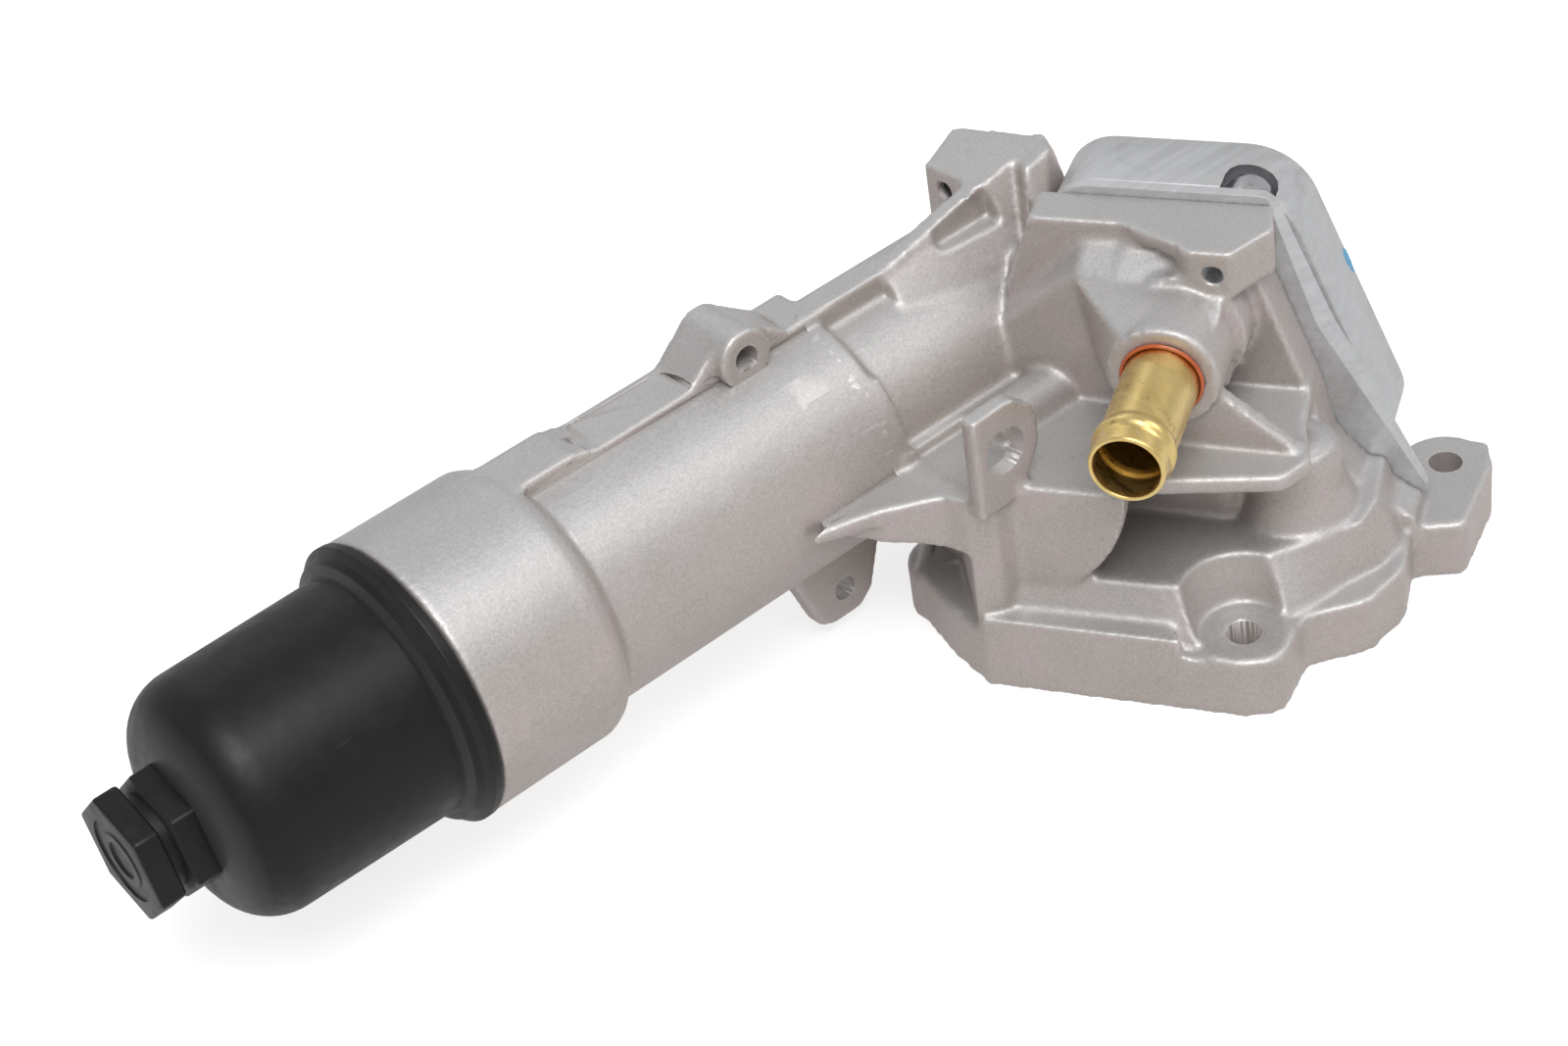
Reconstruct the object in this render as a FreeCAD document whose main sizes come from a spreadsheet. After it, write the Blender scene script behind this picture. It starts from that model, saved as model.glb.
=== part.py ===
import FreeCAD, Part
import math
import os
import Sketcher

# Oil filter housing with screw cap, filter element, plate cooler and coolant stub.
# Millimetres, +Z up, engine flange face on Z = 0.
# The origin is on the flange face, straight under the axis of the coolant stub.
# The barrel runs along X; flange, pad and cooler are turned in plan by flange_turn.

os.makedirs("parts", exist_ok=True)
doc = FreeCAD.newDocument("OilFilterHousing")
sheet = doc.addObject("Spreadsheet::Sheet", "sizes")


# Size: a value with the text that ties it to the sheet
class Size:
    def __init__(self, value, text):
        self.value = float(value)
        self.text = text

    def __add__(self, other):
        other = as_size(other)
        return Size(self.value + other.value, "(%s + %s)" % (self.text, other.text))

    def __radd__(self, other):
        return as_size(other) + self

    def __sub__(self, other):
        other = as_size(other)
        return Size(self.value - other.value, "(%s - %s)" % (self.text, other.text))

    def __rsub__(self, other):
        return as_size(other) - self

    def __mul__(self, other):
        other = as_size(other)
        return Size(self.value * other.value, "(%s * %s)" % (self.text, other.text))

    def __rmul__(self, other):
        return as_size(other) * self

    def __truediv__(self, other):
        other = as_size(other)
        return Size(self.value / other.value, "(%s / %s)" % (self.text, other.text))

    def __neg__(self):
        return Size(-self.value, "(0 - %s)" % self.text)

    def __float__(self):
        return self.value


def as_size(value):
    if isinstance(value, Size):
        return value
    return Size(value, repr(float(value)))


used_rows = []


def size(name, value):
    row = len(used_rows) + 1
    used_rows.append(name)
    sheet.set("A%d" % row, name)
    sheet.set("B%d" % row, "%s" % value)
    sheet.setAlias("B%d" % row, name)
    return Size(value, "sizes.%s" % name)


# Barrel and its place
rim_x = size("rim_x", -183.2)
axis_y = size("axis_y", 67.4)
axis_z = size("axis_z", 56)
mouth_radius = size("mouth_radius", 35.7)
mouth_length = size("mouth_length", 39.5)
mouth_round = size("mouth_round", 4.7)
barrel_radius = size("barrel_radius", 31)
barrel_end = size("barrel_end", 128.7)
barrel_round = size("barrel_round", 2.5)
neck_radius = size("neck_radius", 27.5)
neck_end = size("neck_end", 215)
thread_bore = size("thread_bore", 31.4)
thread_depth = size("thread_depth", 22)
chamber_bore = size("chamber_bore", 27.2)
chamber_end = size("chamber_end", 120)
outlet_bore = size("outlet_bore", 9)
outlet_end = size("outlet_end", 158)

# Rail along the top of the barrel
rail_start = size("rail_start", 26)
rail_near = size("rail_near", 4.6)
rail_far = size("rail_far", 10)
rail_top = size("rail_top", 32.5)
rail_step = size("rail_step", 2.3)
rail_step_length = size("rail_step_length", 26)
rail_rise_start = size("rail_rise_start", 148)
rail_rise_end = size("rail_rise_end", 202)
rail_end = size("rail_end", 205)
shoulder_reach = size("shoulder_reach", 16)

# Block at the end of the rail
block_top = size("block_top", 102)
block_left = size("block_left", -68.7)
block_right = size("block_right", -43.5)
block_front = size("block_front", 28)
block_back = size("block_back", 47.5)

# Boss with a cross hole on the rail, and the lug under the barrel
boss_x = size("boss_x", 102)
boss_z = size("boss_z", 91.2)
boss_radius = size("boss_radius", 7.4)
boss_front = size("boss_front", 8)
small_hole = size("small_hole", 3.3)
lug_x = size("lug_x", 116.6)
lug_z = size("lug_z", 14)
lug_front = size("lug_front", 12)
lug_thick = size("lug_thick", 6)
lug_radius = size("lug_radius", 8.8)
lug_left = size("lug_left", 97)
lug_right = size("lug_right", 131)

# Flange frame, measured along the cooler (u) and across it (v)
flange_turn = size("flange_turn", -60)
flange_thick = size("flange_thick", 16)
flange_front = size("flange_front", -43.6)
flange_left = size("flange_left", -41)
flange_right = size("flange_right", 54.5)
flange_corner = size("flange_corner", 8)
ledge_top = size("ledge_top", 21)
flange_back = size("flange_back", 38)
bolt_hole = size("bolt_hole", 4.25)
bolt_a_u = size("bolt_a_u", 20.5)
bolt_a_v = size("bolt_a_v", -32.7)
bolt_b_u = size("bolt_b_u", 56.2)
bolt_b_v = size("bolt_b_v", 41)
bolt_c_u = size("bolt_c_u", -58)
bolt_c_v = size("bolt_c_v", -13.3)
lobe_radius = size("lobe_radius", 11.5)
chamber_top = size("chamber_top", 29)
turret_u = size("turret_u", 25.5)
turret_v = size("turret_v", 4)
turret_radius = size("turret_radius", 14.8)
turret_top = size("turret_top", 49)
gusset_centre = size("gusset_centre", -41)
gusset_radius = size("gusset_radius", 35.5)
gusset_v = size("gusset_v", -30)
gusset_thick = size("gusset_thick", 5)
diagonal_back = size("diagonal_back", 8)
diagonal_thick = size("diagonal_thick", 4.5)
big_lug_x = size("big_lug_x", 134.8)
big_lug_z = size("big_lug_z", 68.5)
big_lug_hole = size("big_lug_hole", 6.2)
big_lug_front = size("big_lug_front", 58)
big_lug_thick = size("big_lug_thick", 9)
web_top = size("web_top", 56)
web_thick = size("web_thick", 4.5)

# Cooler pad, bracket and stub
pad_face = size("pad_face", 25)
pad_thick = size("pad_thick", 12)
bracket_top = size("bracket_top", 100)
bracket_thick = size("bracket_thick", 12.5)
bracket_front = size("bracket_front", 3)
bracket_hole_u = size("bracket_hole_u", 8.6)
bracket_hole_z = size("bracket_hole_z", 93.8)
bracket_hole = size("bracket_hole", 2.6)
bracket_hole_depth = size("bracket_hole_depth", 10.5)
wing_thick = size("wing_thick", 4)
stub_z = size("stub_z", 76.5)
stub_radius = size("stub_radius", 9)
stub_wall = size("stub_wall", 1.2)
stub_root_radius = size("stub_root_radius", 8.8)
stub_root = size("stub_root", -15)
stub_mouth = size("stub_mouth", -50)
stub_seat = size("stub_seat", 12)
stub_boss = size("stub_boss", 13.5)
bead_rise = size("bead_rise", 0.9)
bead_back = size("bead_back", 7.5)
bead_width = size("bead_width", 4)

# Cooler
plate_thick = size("plate_thick", 3)
core_thick = size("core_thick", 21)
cooler_left = size("cooler_left", -37.5)
cooler_top = size("cooler_top", 102.2)
cooler_top_right = size("cooler_top_right", 17.5)
plate_right = size("plate_right", 54.5)
plate_low = size("plate_low", 20.5)
core_right = size("core_right", 49.2)
core_round = size("core_round", 9.5)
core_round_top = size("core_round_top", 18)
core_low = size("core_low", 25)

# Screw cap
cap_rim_radius = size("cap_rim_radius", 36)
cap_rim_thick = size("cap_rim_thick", 2.9)
cap_neck_x = size("cap_neck_x", 8)
cap_radius = size("cap_radius", 30.1)
cap_end = size("cap_end", 61.5)
cap_dome = size("cap_dome", 14)
cap_wall = size("cap_wall", 2.6)
hex_flats = size("hex_flats", 28)
hex_root = size("hex_root", 67.4)
hex_groove = size("hex_groove", 2.9)
hex_end = size("hex_end", 76.6)
hex_groove_radius = size("hex_groove_radius", 11.6)
skirt_length = size("skirt_length", 18)
skirt_gap = size("skirt_gap", 0.35)

# Element and inner valves
media_radius = size("media_radius", 25.4)
media_inner = size("media_inner", 14.4)
media_start = size("media_start", -30)
media_length = size("media_length", 118)
disc_thick = size("disc_thick", 3)
pleat_count = size("pleat_count", 36)
core_tube_radius = size("core_tube_radius", 13.8)
core_tube_wall = size("core_tube_wall", 1.4)
spigot_radius = size("spigot_radius", 8.4)
standpipe_radius = size("standpipe_radius", 7.6)
standpipe_wall = size("standpipe_wall", 1.4)
standpipe_start = size("standpipe_start", 42)
standpipe_foot = size("standpipe_foot", 12)
seal_clearance = size("seal_clearance", 0.05)
spigot_wall = size("spigot_wall", 1.9)
spigot_end = size("spigot_end", -24)
wire = size("wire", 0.5)
coil_steps = size("coil_steps", 10)

# Ports in the pad face and in the flange face, with their profile seals
port_radius = size("port_radius", 6.5)
mouth_depth = size("mouth_depth", 3)
valve_radius = size("valve_radius", 6.1)
groove_inner = size("groove_inner", 8.1)
groove_outer = size("groove_outer", 10.6)
groove_depth = size("groove_depth", 1.9)
seal_inner = size("seal_inner", 8.3)
seal_outer = size("seal_outer", 10.4)
oil_in_u = size("oil_in_u", -22)
oil_in_z = size("oil_in_z", 36)
oil_out_u = size("oil_out_u", -24)
oil_out_z = size("oil_out_z", 73)
coolant_out_u = size("coolant_out_u", 21)
coolant_out_z = size("coolant_out_z", 36)
feed_u = size("feed_u", -20)
port_v = size("port_v", 6)
return_u = size("return_u", -44)
coolant_port_u = size("coolant_port_u", 25)
cross_z = size("cross_z", 71)
cross_v = size("cross_v", 18)
cross_radius = size("cross_radius", 5)

# Cooler screws
screw_u_near = size("screw_u_near", 11)
screw_z_top = size("screw_z_top", 95.5)
screw_u_left = size("screw_u_left", -31)
screw_u_low = size("screw_u_low", 40)
screw_z_low = size("screw_z_low", 25)
screw_radius = size("screw_radius", 2.5)
screw_reach = size("screw_reach", 9)
screw_head = size("screw_head", 5.3)
screw_head_height = size("screw_head_height", 4)
screw_socket = size("screw_socket", 2.3)


def bind(item, prop, value):
    item.setExpression(prop, as_size(value).text)


def place(item, along, across, up, turned=False):
    item.Placement = FreeCAD.Placement(
        FreeCAD.Vector(float(as_size(along)), float(as_size(across)), float(as_size(up))),
        FreeCAD.Rotation(FreeCAD.Vector(0, 0, 1), float(flange_turn) if turned else 0),
    )


def turned_point(u, v):
    angle = math.radians(float(flange_turn))
    return (
        float(u) * math.cos(angle) - float(v) * math.sin(angle),
        float(u) * math.sin(angle) + float(v) * math.cos(angle),
    )


def new_body(label):
    body = doc.addObject("PartDesign::Body", label)
    body.Label = label
    return body


def origin_plane(body, role):
    for feature in body.Origin.OriginFeatures:
        if feature.Role == role:
            return feature
    raise RuntimeError("no plane " + role)


def new_sketch(body, name, role, offset=None):
    sketch = body.newObject("Sketcher::SketchObject", name)
    sketch.AttachmentSupport = [(origin_plane(body, role), "")]
    sketch.MapMode = "FlatFace"
    if offset is not None:
        sketch.AttachmentOffset = FreeCAD.Placement(
            FreeCAD.Vector(0, 0, float(as_size(offset))), FreeCAD.Rotation()
        )
        sketch.setExpression("AttachmentOffset.Base.z", as_size(offset).text)
    return sketch


def fix_point(sketch, geometry, position, point):
    for axis, value in zip(("DistanceX", "DistanceY"), point):
        index = sketch.addConstraint(Sketcher.Constraint(axis, -1, 1, geometry, position, float(value)))
        sketch.setExpression("Constraints[%d]" % index, as_size(value).text)


def outline(sketch, points):
    points = [(as_size(a), as_size(b)) for a, b in points]
    first = sketch.GeometryCount
    count = len(points)
    for index in range(count):
        start = points[index]
        end = points[(index + 1) % count]
        sketch.addGeometry(
            Part.LineSegment(
                FreeCAD.Vector(float(start[0]), float(start[1]), 0),
                FreeCAD.Vector(float(end[0]), float(end[1]), 0),
            )
        )
    for index in range(count):
        after = first + (index + 1) % count
        sketch.addConstraint(Sketcher.Constraint("Coincident", first + index, 2, after, 1))
    for index in range(count):
        fix_point(sketch, first + index, 1, points[index])


def ring_line(sketch, centre, radius):
    geometry = sketch.addGeometry(
        Part.Circle(
            FreeCAD.Vector(float(as_size(centre[0])), float(as_size(centre[1])), 0),
            FreeCAD.Vector(0, 0, 1),
            float(as_size(radius)),
        )
    )
    fix_point(sketch, geometry, 3, (as_size(centre[0]), as_size(centre[1])))
    index = sketch.addConstraint(Sketcher.Constraint("Radius", geometry, float(as_size(radius))))
    sketch.setExpression("Constraints[%d]" % index, as_size(radius).text)


def pad(body, sketch, length):
    feature = body.newObject("PartDesign::Pad", sketch.Name + "_pad")
    feature.Profile = sketch
    feature.Length = float(as_size(length))
    bind(feature, "Length", length)
    sketch.Visibility = False
    return feature


def spin(body, sketch, axis="H_Axis"):
    feature = body.newObject("PartDesign::Revolution", sketch.Name + "_turned")
    feature.Profile = sketch
    feature.ReferenceAxis = (sketch, [axis])
    feature.Angle = 360
    return feature


# rounded corners: the edges of a pad that stand on the given corners of its outline
def round_corners(body, feature, role, points, corners, radius):
    doc.recompute([feature])
    names = []
    for corner in corners:
        wanted = [float(as_size(value)) for value in points[corner]]
        for number, edge in enumerate(feature.Shape.Edges, 1):
            flat = [drop_normal(vertex.Point, role) for vertex in edge.Vertexes]
            if all(math.dist(point, wanted) < 0.01 for point in flat):
                names.append("Edge%d" % number)
    fillet = body.newObject("PartDesign::Fillet", feature.Name + "_round")
    fillet.Base = (feature, names)
    fillet.Radius = float(as_size(radius))
    bind(fillet, "Radius", radius)
    return fillet


def drop_normal(point, role):
    if role == "XY_Plane":
        return [point.x, point.y]
    if role == "XZ_Plane":
        return [point.x, point.z]
    return [point.y, point.z]


# prism: an outline padded along the normal of an origin plane
def prism(label, role, points, start, length, turned=True, rounds=None):
    body = new_body(label)
    sketch = new_sketch(body, label + "_outline", role, start)
    outline(sketch, points)
    feature = pad(body, sketch, length)
    for radius, corners in (rounds or {}).items():
        feature = round_corners(body, feature, role, points, corners, radius)
    place(body, 0, 0, 0, turned)
    return body


# loft: like outlines at several stations along the normal of an origin plane
def loft(label, role, stations, turned=True):
    body = new_body(label)
    sketches = []
    for number, (start, points) in enumerate(stations, 1):
        sketch = new_sketch(body, "%s_section_%d" % (label, number), role, start)
        outline(sketch, points)
        sketches.append(sketch)
    feature = body.newObject("PartDesign::AdditiveLoft", label + "_loft")
    feature.Profile = sketches[0]
    feature.Sections = sketches[1:]
    feature.Ruled = True
    place(body, 0, 0, 0, turned)
    return body


# quarter-round plate that hangs from its centre, in a plane across v
def arc_plate(label, centre, radius, start, length):
    body = new_body(label)
    sketch = new_sketch(body, label + "_outline", "XZ_Plane", start)
    u, z, reach = [float(as_size(value)) for value in (centre[0], centre[1], radius)]
    middle = FreeCAD.Vector(u, z, 0)
    arc = Part.ArcOfCircle(Part.Circle(middle, FreeCAD.Vector(0, 0, 1), reach), -math.pi / 2, 0)
    sketch.addGeometry(arc)
    sketch.addGeometry(Part.LineSegment(middle, FreeCAD.Vector(u, z - reach, 0)))
    sketch.addGeometry(Part.LineSegment(FreeCAD.Vector(u + reach, z, 0), middle))
    sketch.addConstraint(Sketcher.Constraint("Coincident", 0, 3, 1, 1))
    sketch.addConstraint(Sketcher.Constraint("Coincident", 1, 2, 0, 1))
    sketch.addConstraint(Sketcher.Constraint("Coincident", 0, 2, 2, 1))
    sketch.addConstraint(Sketcher.Constraint("Coincident", 2, 2, 1, 1))
    sketch.addConstraint(Sketcher.Constraint("Vertical", 1))
    sketch.addConstraint(Sketcher.Constraint("Horizontal", 2))
    fix_point(sketch, 0, 3, centre)
    index = sketch.addConstraint(Sketcher.Constraint("Radius", 0, reach))
    sketch.setExpression("Constraints[%d]" % index, as_size(radius).text)
    pad(body, sketch, length)
    place(body, 0, 0, 0, True)
    return body


# turned piece: a profile of (along, radius) points spun about the barrel axis
def lathe(label, points, along=0):
    body = new_body(label)
    sketch = new_sketch(body, label + "_profile", "XY_Plane")
    outline(sketch, points)
    spin(body, sketch)
    place(body, rim_x + along, axis_y, axis_z)
    body.setExpression("Placement.Base.x", (rim_x + along).text)
    body.setExpression("Placement.Base.y", axis_y.text)
    body.setExpression("Placement.Base.z", axis_z.text)
    return body


# rod along Z (up), along the barrel (x), across it (y) or along the cooler normal (v)
def rod(label, radius, length, point, heading):
    item = doc.addObject("Part::Cylinder", label)
    item.Label = label
    bind(item, "Radius", radius)
    bind(item, "Height", length)
    headings = {
        "up": FreeCAD.Rotation(),
        "x": FreeCAD.Rotation(FreeCAD.Vector(0, 1, 0), 90),
        "y": FreeCAD.Rotation(FreeCAD.Vector(1, 0, 0), -90),
        "v": FreeCAD.Rotation(FreeCAD.Vector(0, 0, 1), float(flange_turn)).multiply(
            FreeCAD.Rotation(FreeCAD.Vector(1, 0, 0), -90)
        ),
        "u": FreeCAD.Rotation(FreeCAD.Vector(0, 0, 1), float(flange_turn)).multiply(
            FreeCAD.Rotation(FreeCAD.Vector(0, 1, 0), 90)
        ),
    }
    item.Placement = FreeCAD.Placement(FreeCAD.Vector(*[float(as_size(p)) for p in point]), headings[heading])
    return item


def turned_rod(label, radius, length, u, v, z, heading):
    x, y = turned_point(u, v)
    return rod(label, radius, length, (x, y, z), heading)


def place_turned(item, u, v, z):
    x, y = turned_point(u, v)
    item.Placement = FreeCAD.Placement(FreeCAD.Vector(x, y, float(as_size(z))), FreeCAD.Rotation())


# turned piece that stands upright: a profile of (radius, height) points spun about its own axis
def lathe_up(label, points, u, v):
    body = new_body(label)
    sketch = new_sketch(body, label + "_profile", "XZ_Plane")
    outline(sketch, points)
    spin(body, sketch, "V_Axis")
    place_turned(body, u, v, 0)
    return body


def fuse(label, items):
    item = doc.addObject("Part::MultiFuse", label)
    item.Label = label
    item.Shapes = items
    return item


def cut(label, base, tool):
    item = doc.addObject("Part::Cut", label)
    item.Label = label
    item.Base = base
    item.Tool = tool
    return item


# Casting, barrel: mouth, long section and neck on one axis
barrel = lathe(
    "barrel_form",
    [
        (0, 0),
        (0, mouth_radius),
        (mouth_length - 1.3 * mouth_round, mouth_radius),
        (mouth_length - 0.6 * mouth_round, mouth_radius - 0.3 * mouth_round),
        (mouth_length, barrel_radius),
        (barrel_end - barrel_round, barrel_radius),
        (barrel_end, neck_radius),
        (neck_end, neck_radius),
        (neck_end, 0),
    ],
)

# Casting, rail: a flat-topped wall along the barrel that climbs to the top block
rail_height = axis_z + rail_top
rail = prism(
    "rail_form", "XZ_Plane",
    [
        (rim_x + rail_start, axis_z),
        (rim_x + rail_start, rail_height + rail_step),
        (rim_x + rail_start + rail_step_length, rail_height + rail_step),
        (rim_x + rail_start + rail_step_length + 8, rail_height),
        (rim_x + rail_rise_start, rail_height + 1),
        (rim_x + rail_rise_end, block_top),
        (rim_x + rail_end, block_top),
        (rim_x + rail_end, axis_z),
    ],
    -axis_y - rail_far, rail_near + rail_far, turned=False,
)
shoulder = loft(
    "shoulder_form", "YZ_Plane",
    [
        (
            rim_x + rail_rise_start,
            [
                (axis_y + rail_far, rail_height),
                (axis_y - rail_near, rail_height),
                (axis_y - rail_near - 8, rail_height - 9),
                (axis_y - rail_near - 8, axis_z + 10),
                (axis_y + rail_far, axis_z + 10),
            ],
        ),
        (
            rim_x + rail_end,
            [
                (axis_y + rail_far, block_top),
                (axis_y - rail_near - 2, block_top),
                (axis_y - rail_near - shoulder_reach, block_top - 26),
                (axis_y - rail_near - shoulder_reach, axis_z + 10),
                (axis_y + rail_far, axis_z + 10),
            ],
        ),
    ],
    turned=False,
)

# Casting, top block with its threaded hole, and the wall that falls to the pad
top_block = prism(
    "top_block", "XY_Plane",
    [
        (block_left + 1, block_front),
        (block_left + 10, block_front - 1),
        (block_right - 10.4, 15),
        (block_right - 5.7, 28.8),
        (block_right, block_back),
        (block_left + 7, block_back),
        (block_left + 2, block_back - 2),
    ],
    axis_z, block_top - axis_z, rounds={2.5: [0, 6]},
)
block_wall = prism(
    "block_wall", "XY_Plane",
    [
        (-30, 18.2),
        (-37.5, 18.5),
        (-43, 27),
        (block_right - 2.5, 40),
        (block_right - 0.5, block_back - 0.3),
        (-40.3, block_back - 2),
        (-40.3, pad_face),
        (-30, pad_face),
    ],
    axis_z, bracket_top - 1 - axis_z,
)

# Casting, cross boss on the rail
boss = rod(
    "boss_form", boss_radius, boss_front + rail_far,
    (rim_x + boss_x, axis_y - boss_front, boss_z), "y",
)
boss_web = prism(
    "boss_web", "XZ_Plane",
    [
        (rim_x + boss_x - 2 * boss_radius, axis_z),
        (rim_x + boss_x - 2 * boss_radius, rail_height),
        (rim_x + boss_x - 0.7 * boss_radius, boss_z + 0.7 * boss_radius),
        (rim_x + boss_x + 0.7 * boss_radius, boss_z + 0.7 * boss_radius),
        (rim_x + boss_x + 2.2 * boss_radius, rail_height),
        (rim_x + boss_x + 2.2 * boss_radius, axis_z),
    ],
    -axis_y - rail_far, rail_near + rail_far, turned=False,
)

# Casting, lug under the barrel
lug = prism(
    "lug_form", "XZ_Plane",
    [
        (rim_x + lug_left, axis_z - 20),
        (rim_x + lug_x - lug_radius, lug_z - 7),
        (rim_x + lug_x - 0.5 * lug_radius, lug_z - lug_radius),
        (rim_x + lug_x + 0.5 * lug_radius, lug_z - lug_radius),
        (rim_x + lug_x + lug_radius, lug_z - 5),
        (rim_x + lug_right, axis_z - 30),
        (rim_x + lug_right + 4, axis_z - 20),
    ],
    -axis_y + lug_front - lug_thick, lug_thick, turned=False, rounds={lug_radius * 0.45: [2, 3]},
)

# Casting, engine flange with three bolt lobes
flange = prism(
    "flange_form", "XY_Plane",
    [
        (flange_left, flange_front),
        (bolt_a_u, flange_front - 0.4),
        (bolt_a_u + 11, flange_front + 2),
        (bolt_a_u + 13, flange_front + 20),
        (flange_right - 7, -15.4),
        (flange_right - 1, -2),
        (flange_right - 2, 13.3),
        (bolt_b_u + 8.8, 17),
        (bolt_b_u + lobe_radius, bolt_b_v),
        (bolt_b_u + 9, bolt_b_v + 10),
        (bolt_b_u - 4, bolt_b_v + lobe_radius),
        (40, flange_back),
        (-30, flange_back),
        (-52, 10),
        (bolt_c_u - 9, bolt_c_v + 7),
        (bolt_c_u - 7, bolt_c_v - 8),
        (-52.5, -34.5),
    ],
    0, flange_thick, rounds={flange_corner: [4, 5, 8, 10], 3: [7, 14, 15], 7: [2, 3, 11]},
)
front_wall = prism(
    "front_wall", "XY_Plane",
    [
        (flange_left, flange_front),
        (bolt_a_u - 12, flange_front - 0.2),
        (bolt_a_u - 20, flange_front + 10),
        (flange_left, flange_front + 10),
    ],
    0, ledge_top,
)
lobe_a = turned_rod("lobe_a", lobe_radius, flange_thick + 1, bolt_a_u, bolt_a_v, 0, "up")
lobe_b = turned_rod("lobe_b", lobe_radius, flange_thick, bolt_b_u, bolt_b_v, 0, "up")
lobe_c = turned_rod("lobe_c", lobe_radius, flange_thick - 2, bolt_c_u, bolt_c_v, 0, "up")

# Casting, oil chamber over the flange: sloped walls, and a domed turret over the coolant port
chamber = loft(
    "chamber_form", "XY_Plane",
    [
        (
            flange_thick - 1,
            [
                (flange_left + 1, flange_front + 2),
                (bolt_a_u - 12, flange_front + 2.6),
                (bolt_a_u - 5, flange_front + 3),
                (bolt_a_u + 13, flange_front + 21),
                (41, -10),
                (flange_right - 7, -2.5),
                (flange_right - 3, 6),
                (flange_right - 5, pad_face),
                (-45, pad_face),
                (-50, 0),
            ],
        ),
        (
            chamber_top,
            [
                (flange_left + 3, flange_front + 10),
                (bolt_a_u - 22, flange_front + 10.5),
                (bolt_a_u - 14, flange_front + 11),
                (bolt_a_u + 6, flange_front + 28.5),
                (35.5, -9),
                (43, -2),
                (45, 8),
                (44, pad_face),
                (-45, pad_face),
                (-48, 0),
            ],
        ),
    ],
)
turret = lathe_up(
    "turret_form",
    [
        (0, 0),
        (turret_radius, 0),
        (turret_radius, chamber_top + 1),
        (turret_radius - 1, chamber_top + 3.5),
        (turret_radius - 2.2, chamber_top + 7),
        (turret_radius - 2.6, turret_top - 5),
        (turret_radius - 4.3, turret_top - 1.5),
        (turret_radius - 8, turret_top),
        (0, turret_top),
    ],
    turret_u, turret_v,
)

# Casting, arm from the flange up to the neck, with an arch to the web
arm = prism(
    "arm_form", "XY_Plane",
    [
        (flange_left - 1, flange_front + 1),
        (flange_left + 5, flange_front + 4),
        (-31, -33),
        (-24, 0),
        (-24, pad_face),
        (-62, pad_face),
        (-60, 0),
        (-52, -22),
    ],
    0, web_top,
)
arch = doc.addObject("Part::Common", "arch_form")
arch.Base = prism(
    "arch_block", "XY_Plane",
    [
        (flange_left - 1, flange_front + 1),
        (-48.2, -41.7),
        (-60, -48.5),
        (-74, -50),
        (-75, -10),
        (-50, -20),
    ],
    0, web_top,
)
arch.Tool = prism(
    "arch_side", "XZ_Plane",
    [
        (rim_x + 96, web_top),
        (rim_x + 96, 50),
        (rim_x + 108, 47),
        (rim_x + 117, 44),
        (rim_x + 125, 40),
        (rim_x + 132, 35),
        (rim_x + 137, 27),
        (rim_x + 140, 18),
        (rim_x + 141, 0),
        (rim_x + 165, 0),
        (rim_x + 165, web_top),
    ],
    -axis_y, 90, turned=False,
)

# Casting, body under the web, web, half-disc gusset and slanted ribs
upper_body = prism(
    "upper_body", "XY_Plane",
    [
        (-45, -6),
        (12, -6),
        (28, 6),
        (28, pad_face),
        (-45, pad_face),
    ],
    0, web_top - 1, rounds={8: [1, 2]},
)
web = prism(
    "web_form", "XY_Plane",
    [
        (-76, -50),
        (-72.6, -56.8),
        (-60, -48.5),
        (-48.2, -41.7),
        (-30.8, -35.1),
        (-11.3, -30),
        (29, -22),
        (34, -14),
        (30, 0),
        (28, pad_face),
        (-62, pad_face),
        (-75, -10),
    ],
    web_top - web_thick, web_thick, rounds={1.5: [1], 4: [6, 7]},
)
gusset = arc_plate(
    "gusset_form", (gusset_centre, web_top), gusset_radius, -gusset_v, gusset_thick,
)
diagonal_rib = prism(
    "diagonal_rib", "XZ_Plane",
    [
        (0, stub_z),
        (9, stub_z - 2.5),
        (11.4, stub_z - 4.5),
        (31.5, web_top),
        (31.5, web_top - 2),
        (0, web_top - 2),
    ],
    diagonal_back, diagonal_thick,
)

# Casting, cooler pad: the wall that carries the cooler
pad_wall = prism(
    "pad_wall", "XZ_Plane",
    [
        (-45, 10),
        (flange_right, 10),
        (53.2, 19),
        (43.1, 25.4),
        (32.4, 38),
        (29.2, 52.5),
        (17.1, 86.4),
        (17.5, bracket_top),
        (-38, bracket_top),
        (-45, 80),
    ],
    -pad_face, pad_thick, rounds={9: [4, 5], 4: [3]},
)

# Casting, bracket: thin wing, thick boss with a threaded hole
bracket = prism(
    "bracket_form", "XY_Plane",
    [
        (-30, pad_face),
        (-30, 18.2),
        (-19.6, 15.6),
        (-8.6, 9.4),
        (bracket_hole_u - 6, bracket_front + 1.5),
        (bracket_hole_u - 4, pad_face),
    ],
    bracket_top - wing_thick, wing_thick, rounds={3: [1]},
)
bracket_boss = prism(
    "bracket_boss", "XY_Plane",
    [
        (bracket_hole_u - 15, 16),
        (bracket_hole_u - 7, bracket_front),
        (bracket_hole_u + 4.5, bracket_front),
        (20.8, 14.9),
        (18.5, pad_face),
        (bracket_hole_u - 15, pad_face),
    ],
    bracket_top - bracket_thick, bracket_thick, rounds={3: [1, 2, 3]},
)

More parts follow.
